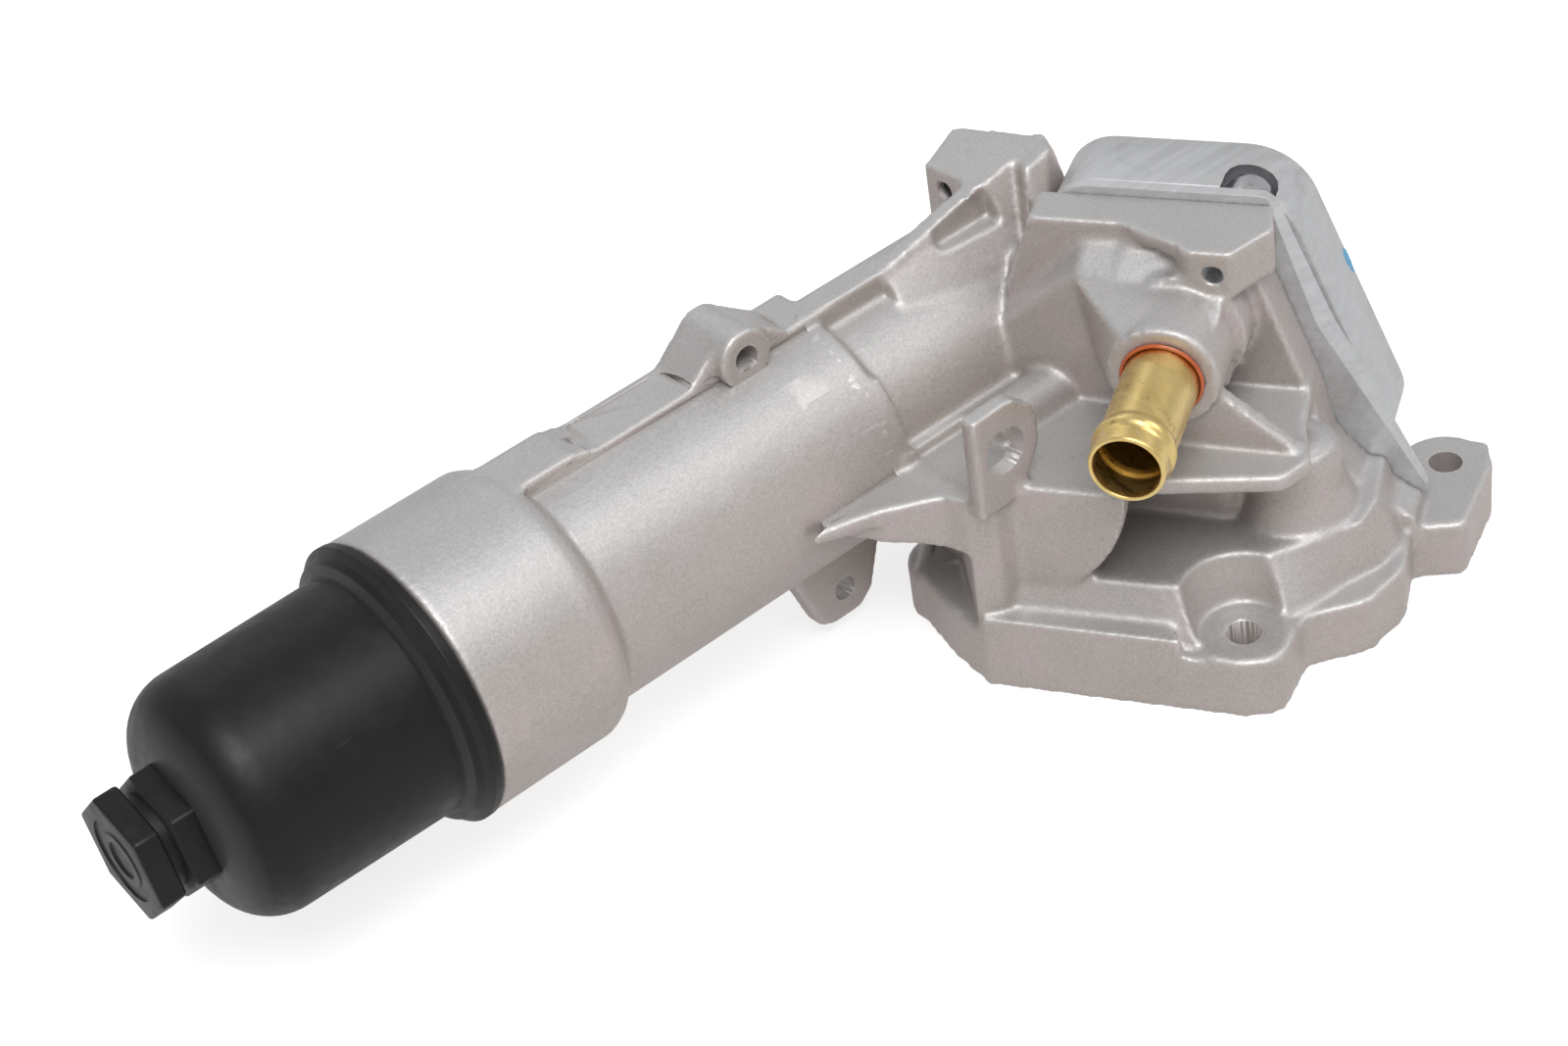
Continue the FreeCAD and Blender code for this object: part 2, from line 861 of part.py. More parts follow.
# Casting, body between the neck and the stub, and the boss round the stub
cross_body = loft(
    "cross_body", "YZ_Plane",
    [
        (
            -46,
            [
                (pad_face, 84),
                (18, 78),
                (9, 71),
                (6, 62),
                (6, 50),
                (pad_face, 50),
            ],
        ),
        (
            -25,
            [
                (pad_face, bracket_top - wing_thick),
                (15, bracket_top - wing_thick),
                (5, stub_z + stub_boss),
                (2, 70),
                (2, 50),
                (pad_face, 50),
            ],
        ),
        (
            -stub_boss,
            [
                (pad_face, bracket_top - wing_thick),
                (14, bracket_top - wing_thick),
                (3, stub_z + stub_boss),
                (1, 70),
                (1, 50),
                (pad_face, 50),
            ],
        ),
    ],
)
stub_body = loft(
    "stub_body", "XZ_Plane",
    [
        (
            -4,
            [
                (-25, stub_z + stub_boss),
                (2, stub_z + stub_boss),
                (10, stub_z + 8),
                (stub_boss - 1, stub_z),
                (10, stub_z - 14),
                (2, 54),
                (-14, 54),
                (-22, 70),
            ],
        ),
        (
            -stub_root - 0.4,
            [
                (-0.7 * stub_boss, stub_z + 0.7 * stub_boss),
                (0, stub_z + stub_boss - 0.2),
                (0.7 * stub_boss, stub_z + 0.7 * stub_boss),
                (stub_boss - 0.2, stub_z),
                (0.7 * stub_boss, stub_z - 0.7 * stub_boss),
                (0, stub_z - stub_boss + 0.2),
                (-0.7 * stub_boss, stub_z - 0.7 * stub_boss),
                (-stub_boss + 0.2, stub_z),
            ],
        ),
    ],
)
leg = prism(
    "bracket_leg", "YZ_Plane",
    [
        (12, bracket_top - bracket_thick + 1),
        (bracket_front + 0.2, bracket_top - bracket_thick + 1),
        (stub_root + 3, stub_z + 6),
        (stub_root + 3, stub_z),
        (bracket_front, stub_z - 14),
        (12, stub_z - 14),
    ],
    6.5, 4.8,
)
stub_round = turned_rod("stub_round", stub_boss, pad_face - stub_root, 0, stub_root, stub_z, "v")
stub_back = turned_rod("stub_back", stub_boss + 2.3, pad_face - 3, 0, 3, stub_z, "v")

# Casting, big lug on the web and half-round gallery
big_lug = prism(
    "big_lug", "XZ_Plane",
    [
        (rim_x + big_lug_x - 9.3, web_top - 3),
        (rim_x + big_lug_x - 9.3, big_lug_z + 12.5),
        (rim_x + big_lug_x + 3, big_lug_z + 13),
        (rim_x + big_lug_x + 10.5, big_lug_z + 7),
        (rim_x + big_lug_x + 10.5, big_lug_z - 4),
        (rim_x + big_lug_x + 3.7, web_top - 3),
    ],
    -axis_y + big_lug_front - big_lug_thick, big_lug_thick, turned=False, rounds={5: [2, 3, 4]},
)
lug_back = prism(
    "lug_back", "XY_Plane",
    [
        (rim_x + big_lug_x - 9.3, axis_y - big_lug_front + big_lug_thick - 1),
        (rim_x + big_lug_x - 6.3, axis_y - big_lug_front + big_lug_thick - 1),
        (rim_x + big_lug_x - 4, axis_y - 20),
        (rim_x + big_lug_x - 9.3, axis_y - 20),
    ],
    web_top - 3, 24, turned=False,
)
gallery = rod("gallery_form", 7, 40, (rim_x + 146, axis_y - 37, web_top), "x")
gallery_end = rod("gallery_end", 8, 4, (rim_x + 183, axis_y - 37, web_top), "x")
ledge = prism(
    "ledge_form", "XY_Plane",
    [
        (rim_x + 122, axis_y - 24),
        (rim_x + 126, axis_y - 30.5),
        (rim_x + 193, axis_y - 30.5),
        (rim_x + 193, axis_y - 20),
        (rim_x + 122, axis_y - 20),
    ],
    web_top - 0.5, 3.1, turned=False,
)

casting_solid = fuse(
    "casting_solid",
    [
        barrel, rail, shoulder, top_block, block_wall, boss, boss_web, lug, flange, front_wall, lobe_a, lobe_b,
        lobe_c, chamber, turret, arm, arch, upper_body, web, gusset, diagonal_rib, pad_wall, bracket,
        bracket_boss, cross_body, stub_body, leg, stub_round, stub_back, big_lug, lug_back, gallery, gallery_end,
        ledge,
    ],
)

# Casting, what is machined or cored away
bore = lathe(
    "bore_cut",
    [
        (-1, 0),
        (-1, thread_bore + 1.5),
        (0, thread_bore + 1.5),
        (1.5, thread_bore),
        (thread_depth, thread_bore),
        (thread_depth + 4, chamber_bore),
        (chamber_end, chamber_bore),
        (chamber_end + 2, chamber_bore - 3),
        (chamber_end + 2, outlet_bore),
        (outlet_end, outlet_bore),
        (outlet_end, 0),
    ],
)
cooler_space = prism(
    "cooler_space", "XY_Plane",
    [
        (-40, pad_face),
        (90, pad_face),
        (90, 150),
        (-150, 150),
        (-150, block_back),
        (-40, block_back),
    ],
    flange_thick + 1, 100,
)
hole_a = turned_rod("hole_a", bolt_hole, 60, bolt_a_u, bolt_a_v, -1, "up")
hole_b = turned_rod("hole_b", bolt_hole, 60, bolt_b_u, bolt_b_v, -1, "up")
hole_c = turned_rod("hole_c", bolt_hole, flange_thick, bolt_c_u, bolt_c_v, -1, "up")
scoop_a = doc.addObject("Part::Cone", "scoop_a")
scoop_a.Label = "scoop_a"
bind(scoop_a, "Radius1", lobe_radius - 0.5)
bind(scoop_a, "Radius2", lobe_radius + 6.5)
bind(scoop_a, "Height", 20)
place_turned(scoop_a, bolt_a_u, bolt_a_v, flange_thick + 1)
boss_hole = rod("boss_hole", small_hole, 40, (rim_x + boss_x, axis_y - 20, boss_z), "y")
lug_hole = rod("lug_hole", small_hole, 20, (rim_x + lug_x, axis_y - 20, lug_z), "y")
big_hole = rod(
    "big_hole", big_lug_hole, big_lug_thick + 1.9,
    (rim_x + big_lug_x, axis_y - big_lug_front - 1, big_lug_z), "y",
)
bracket_bore = turned_rod(
    "bracket_bore", bracket_hole, bracket_hole_depth + 1, bracket_hole_u, bracket_front - 1, bracket_hole_z, "v"
)
block_bore = turned_rod(
    "block_bore", bracket_hole, bracket_hole_depth + 3, block_left + 5.5, block_front - 3, block_top - 5.8, "v"
)
rail_pocket = prism(
    "rail_pocket", "XZ_Plane",
    [
        (rim_x + 164, 88),
        (rim_x + 164, 93),
        (rim_x + 182, 97),
        (rim_x + 183, 88),
    ],
    -axis_y + rail_near, 6, turned=False,
)
stub_passage = turned_rod("stub_passage", stub_radius - stub_wall, 20, 0, stub_root - 1, stub_z, "v")
stub_bore = turned_rod("stub_bore", stub_root_radius + 0.05, stub_seat + 1, 0, stub_root - 1, stub_z, "v")

# Oil and coolant passages
feed_mouth = turned_rod("feed_mouth", port_radius, mouth_depth + 1, feed_u, port_v, -1, "up")
feed_bore = turned_rod("feed_bore", valve_radius, oil_in_z, feed_u, port_v, 1, "up")
feed_cross = turned_rod("feed_cross", valve_radius, pad_face - port_v + 1, oil_in_u, port_v, oil_in_z, "v")
oil_out_cross = turned_rod(
    "oil_out_cross", cross_radius - 0.5, pad_face - cross_v + 1, oil_out_u, cross_v, oil_out_z, "v"
)
oil_out_run = turned_rod("oil_out_run", cross_radius, 52, -72, cross_v, cross_z, "u")
oil_out_head = rod(
    "oil_out_head", cross_radius - 1, 46, (rim_x + 116, axis_y, cross_z + 1), "x"
)
return_run = turned_rod("return_run", 6, 30, -74, port_v, 50, "u")
return_bore = turned_rod("return_bore", port_radius, 51, return_u, port_v, -1, "up")
coolant_bore = turned_rod("coolant_bore", 6, coolant_out_z + 1, coolant_port_u, 8, -1, "up")
coolant_cross = turned_rod(
    "coolant_cross", 6, pad_face - 8 + 1, coolant_out_u, 8, coolant_out_z, "v"
)
stub_through = turned_rod("stub_through", port_radius, pad_face + 2, 0, 0, stub_z, "v")


def face_ring(label, inner, outer, depth, u, v, z, heading):
    outside = turned_rod(label + "_outside", outer, depth, u, v, z, heading)
    inside = turned_rod(label + "_inside", inner, depth, u, v, z, heading)
    return cut(label, outside, inside)


pad_ports = {
    "oil_in": (oil_in_u, oil_in_z),
    "oil_out": (oil_out_u, oil_out_z),
    "coolant_in": (as_size(0), stub_z),
    "coolant_out": (coolant_out_u, coolant_out_z),
}
flange_ports = {
    "feed": (feed_u, port_v),
    "return": (return_u, port_v),
    "coolant": (coolant_port_u, as_size(8)),
}
pad_grooves = [
    face_ring(
        "groove_" + name, groove_inner, groove_outer, groove_depth + 1, u,
        pad_face - groove_depth, z, "v",
    )
    for name, (u, z) in pad_ports.items()
]
flange_grooves = [
    face_ring("groove_" + name, groove_inner, groove_outer, groove_depth + 1, u, v, -1, "up")
    for name, (u, v) in flange_ports.items()
]
screw_places = {
    "a": (screw_u_near, screw_z_top),
    "b": (screw_u_left, screw_z_top),
    "c": (screw_u_left, screw_z_low),
    "d": (screw_u_low, screw_z_low),
}
screw_bores = [
    turned_rod(
        "screw_bore_" + name, screw_radius + seal_clearance, screw_reach + 2,
        u, pad_face - screw_reach - 1, z, "v",
    )
    for name, (u, z) in screw_places.items()
]

# The cuts go in groups whose members don't meet
cut_groups = [
    [
        bore, hole_a, hole_b, hole_c, boss_hole, lug_hole, big_hole, bracket_bore, block_bore, stub_bore,
        coolant_bore, feed_bore, return_bore,
    ] + screw_bores,
    [feed_cross, coolant_cross, oil_out_cross, stub_passage, scoop_a, rail_pocket],
    [cooler_space, oil_out_run, return_run] + flange_grooves,
    [oil_out_head, stub_through, feed_mouth] + pad_grooves,
]
housing = casting_solid
for number, group in enumerate(cut_groups, 1):
    housing = cut("casting_step_%d" % number, housing, fuse("cut_group_%d" % number, group))
housing.Label = "filter_housing"

# Coolant stub: a drawn tube with a bead near its mouth
stub_length = stub_root - stub_mouth + stub_seat
stub = new_body("coolant_pipe")
stub_sketch = new_sketch(stub, "stub_profile", "XY_Plane")
outline(
    stub_sketch,
    [
        (0, stub_radius - stub_wall),
        (0, stub_radius - 0.4),
        (0.4, stub_radius),
        (bead_back - bead_width / 2, stub_radius),
        (bead_back - bead_width / 4, stub_radius + bead_rise),
        (bead_back + bead_width / 4, stub_radius + bead_rise),
        (bead_back + bead_width / 2, stub_radius),
        (stub_length - stub_seat - 0.3, stub_radius),
        (stub_length - stub_seat, stub_root_radius),
        (stub_length, stub_root_radius),
        (stub_length, stub_radius - stub_wall),
    ],
)
spin(stub, stub_sketch)
stub_x, stub_y = turned_point(0, stub_mouth)
stub.Placement = FreeCAD.Placement(
    FreeCAD.Vector(stub_x, stub_y, float(stub_z)),
    FreeCAD.Rotation(FreeCAD.Vector(0, 0, 1), float(flange_turn) + 90),
)

# Screw cap: rim, dome, grooved hexagon and threaded skirt
cap_form = lathe(
    "cap_form",
    [
        (-hex_root, 0),
        (-hex_root, hex_groove_radius),
        (-cap_end, hex_groove_radius),
        (-cap_end, cap_radius - cap_dome),
        (-cap_end + 0.134 * cap_dome, cap_radius - cap_dome + 0.5 * cap_dome),
        (-cap_end + 0.5 * cap_dome, cap_radius - cap_dome + 0.866 * cap_dome),
        (-cap_end + cap_dome, cap_radius),
        (-cap_neck_x, cap_radius),
        (-cap_neck_x + 1, cap_radius + 1.5),
        (-cap_neck_x + 3, cap_radius + 4),
        (-cap_rim_thick, cap_rim_radius),
        (0, cap_rim_radius),
        (0, thread_bore - 2.8),
        (5, thread_bore - 2.8),
        (5, thread_bore - skirt_gap),
        (skirt_length, thread_bore - skirt_gap),
        (skirt_length, thread_bore - 5.2),
        (-cap_neck_x, cap_radius - cap_wall - 1.4),
        (-cap_end + cap_dome, cap_radius - cap_wall - 1.4),
        (-cap_end + cap_dome / 2, cap_radius - cap_wall - 5),
        (-cap_end + cap_wall + 0.5, cap_radius - cap_dome),
        (-cap_end + cap_wall + 0.5, 0),
    ],
)
hex_points = []
for corner in range(6):
    angle = math.radians(60 * corner + 15)
    reach = 1 / math.cos(math.radians(30)) / 2
    hex_points.append((hex_flats * (reach * math.cos(angle)), hex_flats * (reach * math.sin(angle))))
hex_inner = prism(
    "hex_inner", "YZ_Plane", hex_points, -hex_root, hex_root - cap_end + 1, turned=False
)
place(hex_inner, rim_x, axis_y, axis_z)
hex_outer = prism(
    "hex_outer", "YZ_Plane", hex_points, -hex_end, hex_end - hex_root - hex_groove, turned=False
)
place(hex_outer, rim_x, axis_y, axis_z)
hex_neck = rod(
    "hex_neck", hex_groove_radius, hex_end - cap_end, (rim_x - hex_end + 1, axis_y, axis_z), "x"
)

# Pipe seal: a thin ring of sealant round the root of the stub
pipe_seal = face_ring(
    "pipe_seal", stub_radius + seal_clearance, stub_radius + 1.1, 1.2, 0, stub_root - 1.2, stub_z, "v"
)

# Profile seals in the grooves
seals = []
for name, (u, z) in pad_ports.items():
    seals.append(
        face_ring("pad_seal_" + name, seal_inner, seal_outer, groove_depth, u, pad_face - groove_depth, z, "v")
    )
for name, (u, v) in flange_ports.items():
    seals.append(face_ring("flange_seal_" + name, seal_inner, seal_outer, groove_depth, u, v, 0, "up"))

# Cooler base plate with its four ports and four screw holes
plate_form = prism(
    "plate_form", "XZ_Plane",
    [
        (cooler_left, plate_low - 2),
        (plate_right - 1, plate_low - 2),
        (plate_right, plate_low),
        (31.6, 67.8),
        (cooler_top_right + 0.8, cooler_top),
        (cooler_left, cooler_top),
    ],
    -pad_face - plate_thick, plate_thick, rounds={2: [4], 3: [5]},
)
plate_ports = [
    turned_rod("plate_port_" + name, port_radius, plate_thick + 2, u, pad_face - 1, z, "v")
    for name, (u, z) in pad_ports.items()
]
plate_holes = [
    turned_rod("plate_hole_" + name, screw_radius + 0.4, plate_thick + 2, u, pad_face - 1, z, "v")
    for name, (u, z) in screw_places.items()
]
plate = cut("cooler_plate", plate_form, fuse("plate_cuts", plate_ports + plate_holes))

# Cooler stack: rounded block, relieved round each screw head, with a rib at every second plate
core_form = prism(
    "core_form", "XZ_Plane",
    [
        (cooler_left, core_low),
        (core_right, core_low),
        (cooler_top_right + 2.5, cooler_top),
        (cooler_left, cooler_top),
    ],
    -pad_face - plate_thick - core_thick, core_thick, rounds={core_round: [0, 1, 3], core_round_top: [2]},
)
core_reliefs = [
    turned_rod(
        "core_relief_" + name, screw_head + 1.2, screw_head_height + 2.5,
        u, pad_face + plate_thick - 0.5, z, "v",
    )
    for name, (u, z) in screw_places.items()
]
core_ports = [
    turned_rod("core_port_" + name, port_radius, 8, u, pad_face + plate_thick - 1, z, "v")
    for name, (u, z) in pad_ports.items()
]
core = cut("cooler_core", core_form, fuse("core_cuts", core_reliefs + core_ports))


# Cooler screw: shank and low domed head with a socket
def cooler_screw(name, u, z):
    body = new_body("screw_" + name)
    sketch = new_sketch(body, "screw_profile_" + name, "XY_Plane")
    outline(
        sketch,
        [
            (-screw_reach, 0),
            (-screw_reach, screw_radius - 0.5),
            (-screw_reach + 0.5, screw_radius),
            (plate_thick, screw_radius),
            (plate_thick, screw_head),
            (plate_thick + 1.1, screw_head),
            (plate_thick + 1.6, screw_head - 0.6),
            (plate_thick + 0.7 * screw_head_height, screw_head - 1.3),
            (plate_thick + 0.93 * screw_head_height, screw_head - 2.2),
            (plate_thick + screw_head_height, screw_socket + 0.2),
            (plate_thick + screw_head_height, screw_socket),
            (plate_thick + 0.4 * screw_head_height, screw_socket),
            (plate_thick + 0.4 * screw_head_height, 0),
        ],
    )
    spin(body, sketch)
    x, y = turned_point(u, pad_face)
    body.Placement = FreeCAD.Placement(
        FreeCAD.Vector(x, y, float(z)),
        FreeCAD.Rotation(FreeCAD.Vector(0, 0, 1), float(flange_turn) + 90),
    )
    return body


screws = doc.addObject("Part::Compound", "cooler_screws")
screws.Label = "cooler_screws"
screws.Links = [cooler_screw(name, u, z) for name, (u, z) in screw_places.items()]


def tube(label, inner, outer, start, length):
    return lathe(
        label,
        [
            (start, inner),
            (start, outer),
            (start + length, outer),
            (start + length, inner),
        ],
    )


# Cap seal in the groove behind the rim
cap_ring = lathe(
    "cap_o_ring",
    [
        (0.8, thread_bore - 2.8 + seal_clearance),
        (0.8, thread_bore - 1.4),
        (1.9, thread_bore - seal_clearance),
        (3.9, thread_bore - seal_clearance),
        (5, thread_bore - 1.4),
        (5, thread_bore - 2.8 + seal_clearance),
    ],
)

# Spigot inside the cap, open at its end, with a seat for the bypass plunger
spigot_inner = spigot_radius - spigot_wall
spigot = lathe(
    "spigot_form",
    [
        (-cap_end + cap_wall - 1, 0),
        (-cap_end + cap_wall - 1, spigot_radius),
        (spigot_end, spigot_radius),
        (spigot_end, spigot_inner),
        (spigot_end - 14, spigot_inner),
        (spigot_end - 14, 3.6),
        (spigot_end - 17, 3.6),
        (spigot_end - 17, spigot_inner),
        (-cap_end + cap_wall + 3, spigot_inner),
        (-cap_end + cap_wall + 3, 0),
    ],
)
spigot_windows = [
    rod("spigot_window_a", 3, 30, (rim_x - 49, axis_y, axis_z - 15), "up"),
    rod("spigot_window_b", 3, 30, (rim_x - 49, axis_y - 15, axis_z), "y"),
]
cap = cut(
    "filter_cap",
    fuse("cap_solid", [cap_form, hex_inner, hex_outer, hex_neck, spigot]),
    fuse("cap_windows", spigot_windows),
)

# Bypass valve in the spigot: plunger on its seat, spring, clip
bypass_plunger = lathe(
    "bypass_plunger",
    [
        (spigot_end - 14, 0),
        (spigot_end - 14, spigot_inner - 0.1),
        (spigot_end - 12, spigot_inner - 0.1),
        (spigot_end - 12, 2),
        (spigot_end - 8, 1.6),
        (spigot_end - 8, 0),
    ],
)
bypass_clip = tube("bypass_clip", as_size(2.6), spigot_inner - seal_clearance, spigot_end - 2, as_size(1.4))


# coil spring: a square wire along straight chords, coil_steps to a turn
def spring(label, radius, length, turns, start):
    item = doc.addObject("Part::Feature", label)
    item.Label = label
    count = int(coil_steps.value * turns)
    path = [
        FreeCAD.Vector(
            float(radius) * math.cos(2 * math.pi * step / coil_steps.value),
            float(radius) * math.sin(2 * math.pi * step / coil_steps.value),
            float(length) * step / count,
        )
        for step in range(count + 1)
    ]
    half = float(wire)
    corners = [(half, half), (-half, half), (-half, -half), (half, -half), (half, half)]
    section = Part.makePolygon([path[0] + FreeCAD.Vector(x, 0, z) for x, z in corners])
    sweep = Part.makePolygon(path).makePipeShell([section], True, False, 1)
    item.Shape = sweep
    item.Placement = start
    return item


bypass_spring = spring(
    "bypass_spring", 4.4, 10 - 2 * 0.55 - 0.1, 4.5,
    FreeCAD.Placement(
        FreeCAD.Vector(float(rim_x + spigot_end) - 12 + 0.6, float(axis_y), float(axis_z)),
        FreeCAD.Rotation(FreeCAD.Vector(0, 1, 0), 90),
    ),
)

# Filter element: end discs, pleated media, slotted core, lip seal
media_end = media_start + media_length
outer_disc = lathe(
    "element_outer_disc",
    [
        (media_start - disc_thick, spigot_radius + 0.1),
        (media_start - disc_thick, media_radius + 0.3),
        (media_start, media_radius + 0.3),
        (media_start, spigot_radius + 0.1),
    ],
)
inner_disc = lathe(
    "element_inner_disc",
    [
        (media_end, standpipe_radius + 3),
        (media_end, media_radius + 0.3),
        (media_end + disc_thick, media_radius + 0.3),
        (media_end + disc_thick, standpipe_radius + 4.5),
        (media_end + disc_thick + 4, standpipe_radius + 4.5),
        (media_end + disc_thick + 4, standpipe_radius + 0.5),
        (media_end + disc_thick + 2.5, standpipe_radius + 0.5),
        (media_end + disc_thick + 2.5, standpipe_radius + 3),
    ],
)
element_seal = tube(
    "element_seal", standpipe_radius + seal_clearance, standpipe_radius + 3 - seal_clearance,
    media_end, disc_thick + 2.5,
)
media = new_body("element_media")
media_sketch = new_sketch(media, "media_section", "YZ_Plane", media_start)
pleats = []
for index in range(2 * int(float(pleat_count))):
    angle = math.pi * index / float(pleat_count)
    reach = media_radius if index % 2 == 0 else media_radius - 2
    pleats.append((reach * math.cos(angle), reach * math.sin(angle)))
outline(media_sketch, pleats)
ring_line(media_sketch, (0, 0), media_inner)
pad(media, media_sketch, media_length)
place(media, rim_x, axis_y, axis_z)
core_form_tube = tube(
    "core_tube_form", core_tube_radius - core_tube_wall, core_tube_radius, media_start, media_length
)
core_slots = []
for index in range(6):
    along = rim_x + media_start + 12 + 18.5 * index
    core_slots.append(rod("core_slot_a%d" % index, 3, 40, (along, axis_y - 20, axis_z), "y"))
    core_slots.append(rod("core_slot_b%d" % index, 3, 40, (along + 7, axis_y, axis_z - 20), "up"))
element_core = cut("element_core", core_form_tube, fuse("core_slots", core_slots))

# Standpipe: fixed in the floor of the barrel, slotted near its free end
standpipe_form = lathe(
    "standpipe_form",
    [
        (standpipe_start, standpipe_radius - standpipe_wall),
        (standpipe_start, standpipe_radius - 0.6),
        (standpipe_start + 3, standpipe_radius),
        (chamber_end - 1, standpipe_radius),
        (chamber_end - 1, standpipe_radius + 4),
        (chamber_end + 2, standpipe_radius + 4),
        (chamber_end + 2, outlet_bore - seal_clearance),
        (chamber_end + 2 + standpipe_foot, outlet_bore - seal_clearance),
        (chamber_end + 2 + standpipe_foot, standpipe_radius - standpipe_wall),
    ],
)
standpipe_slots = [
    rod("standpipe_slot_a", 2.2, 30, (rim_x + standpipe_start + 12, axis_y - 15, axis_z), "y"),
    rod("standpipe_slot_b", 2.2, 30, (rim_x + standpipe_start + 20, axis_y, axis_z - 15), "up"),
    rod("standpipe_slot_c", 2.2, 30, (rim_x + standpipe_start + 28, axis_y - 15, axis_z), "y"),
]
standpipe = cut("standpipe", standpipe_form, fuse("standpipe_slots", standpipe_slots))


# Non-return valve in the feed bore: seat ring, plunger and spring
check_seat = lathe_up(
    "check_seat",
    [
        (3.8, 3),
        (valve_radius - seal_clearance, 3),
        (valve_radius - seal_clearance, 6),
        (3.8, 6),
    ],
    feed_u, port_v,
)
check_disc = lathe_up(
    "check_disc",
    [
        (0, 6),
        (5, 6),
        (5, 8),
        (2, 8),
        (2, 12),
        (0, 12),
    ],
    feed_u, port_v,
)
check_stop = lathe_up(
    "check_stop",
    [
        (3.2, 22),
        (valve_radius - seal_clearance, 22),
        (valve_radius - seal_clearance, 23.6),
        (3.2, 23.6),
    ],
    feed_u, port_v,
)
check_x, check_y = turned_point(feed_u, port_v)
check_spring = spring(
    "check_spring", 3.9, 14 - 2 * 0.55 - 0.1, 5.5,
    FreeCAD.Placement(FreeCAD.Vector(check_x, check_y, 8 + 0.6), FreeCAD.Rotation()),
)

doc.recompute()

pieces = [
    housing, stub, pipe_seal, cap, cap_ring, plate, core, screws, bypass_plunger, bypass_spring, bypass_clip,
    outer_disc, inner_disc, element_seal, media, element_core, standpipe, check_seat, check_disc, check_stop,
    check_spring,
] + seals

for item in doc.Objects:
    if "Invalid" in item.State or "Error" in item.State:
        raise RuntimeError("%s did not build: %s" % (item.Label, item.State))

for item in pieces:
    if item.Shape.isNull() or not item.Shape.isValid():
        raise RuntimeError("%s has no valid shape" % item.Label)
    if len(item.Shape.Solids) < 1:
        raise RuntimeError("%s has no solid" % item.Label)
    print(item.Label, "solids", len(item.Shape.Solids), "volume %.0f" % item.Shape.Volume)
    item.Shape.exportStep("parts/" + item.Label + ".step")
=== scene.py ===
import math
import bmesh
import bpy
import numpy as np
from mathutils import Matrix, Vector


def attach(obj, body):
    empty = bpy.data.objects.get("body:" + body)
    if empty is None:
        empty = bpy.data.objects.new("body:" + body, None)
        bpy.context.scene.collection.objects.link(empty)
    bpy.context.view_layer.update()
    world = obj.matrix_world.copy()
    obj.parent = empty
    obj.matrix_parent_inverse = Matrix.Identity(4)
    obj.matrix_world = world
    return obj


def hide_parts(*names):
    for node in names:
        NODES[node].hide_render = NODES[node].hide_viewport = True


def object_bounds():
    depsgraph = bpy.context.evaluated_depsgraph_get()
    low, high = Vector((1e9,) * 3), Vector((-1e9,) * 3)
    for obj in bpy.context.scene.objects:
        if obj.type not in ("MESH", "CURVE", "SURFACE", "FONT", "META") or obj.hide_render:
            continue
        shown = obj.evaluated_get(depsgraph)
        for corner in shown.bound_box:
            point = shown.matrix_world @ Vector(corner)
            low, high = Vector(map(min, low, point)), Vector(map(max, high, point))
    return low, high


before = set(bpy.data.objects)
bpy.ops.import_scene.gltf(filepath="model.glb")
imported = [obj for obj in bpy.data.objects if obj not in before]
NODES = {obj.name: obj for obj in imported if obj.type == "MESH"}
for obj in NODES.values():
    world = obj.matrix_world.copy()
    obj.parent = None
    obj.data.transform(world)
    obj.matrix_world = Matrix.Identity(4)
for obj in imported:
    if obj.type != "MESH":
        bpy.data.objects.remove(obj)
cad_low, cad_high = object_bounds()

MM = 0.001
UP = Vector((0, 0, 1))

# Sizes of the part in millimetres, as in its source. A place is given from the barrel's rim, as distance
# along the barrel, side of the axis and height, or in the flange's own frame, as u, v and height
RIM_X, AXIS_Y, AXIS_Z = -183.2, 67.4, 56.0
BARREL_RADIUS, THREAD_BORE, NECK_RADIUS = 31.0, 31.4, 27.5
RAIL_START, RAIL_HEIGHT, RAIL_SLOPE = 147.7, 89.4, 0.2315
PAD_FACE, PLATE_THICK, CORE_THICK = 25.0, 3.0, 21.0
FLANGE_THICK = 16.0
STUB_Z, STUB_ROOT, STUB_MOUTH, STUB_RADIUS = 76.5, -15.0, -50.0, 9.0
CAP_END, CAP_RADIUS, CAP_DOME, CAP_WALL = 61.5, 30.1, 14.0, 2.6
CAP_RIM, CAP_MOUTH = 36, 28.6
HEX_FLATS, HEX_ROOT, HEX_GROOVE, HEX_END, HEX_NECK, HEX_TURN = 28.0, 67.4, 2.9, 76.6, 11.6, 15

# Holes and ports that are cut into the soft casting again
SCREWS = [(11, 95.5), (-31, 95.5), (-31, 25), (40, 25)]
OPEN_SCREW = SCREWS[0]
# Passages from the pad: u, height, depth at which the cut starts, radius
PAD_PASSAGES = [(-22, 36, 5, 7.0), (-24, 73, 17, 6.0), (0, STUB_Z, PAD_FACE - 6, 7.2), (21, 36, 7, 6.8)]
PAD_PORTS = [passage[:2] for passage in PAD_PASSAGES]
# Passages from the flange: u, v, height to which they are cut, radius
FLANGE_PASSAGES = [(-20, 6, 42.6, 7.2), (-44, 6, 50.6, 7.2), (25, 8, 36.6, 6.8)]
FLANGE_PORTS = [passage[:2] for passage in FLANGE_PASSAGES]
# Radii of the rods that close a hole and of those that cut it again
PORT_PLUG, PORT_SEAT, SEAT_DEPTH = 11.6, 11.2, 2.6
SCREW_PLUG, SCREW_CUT = 3.4, 3.2
STUB_PLUG, STUB_CUT = 10, 9.6
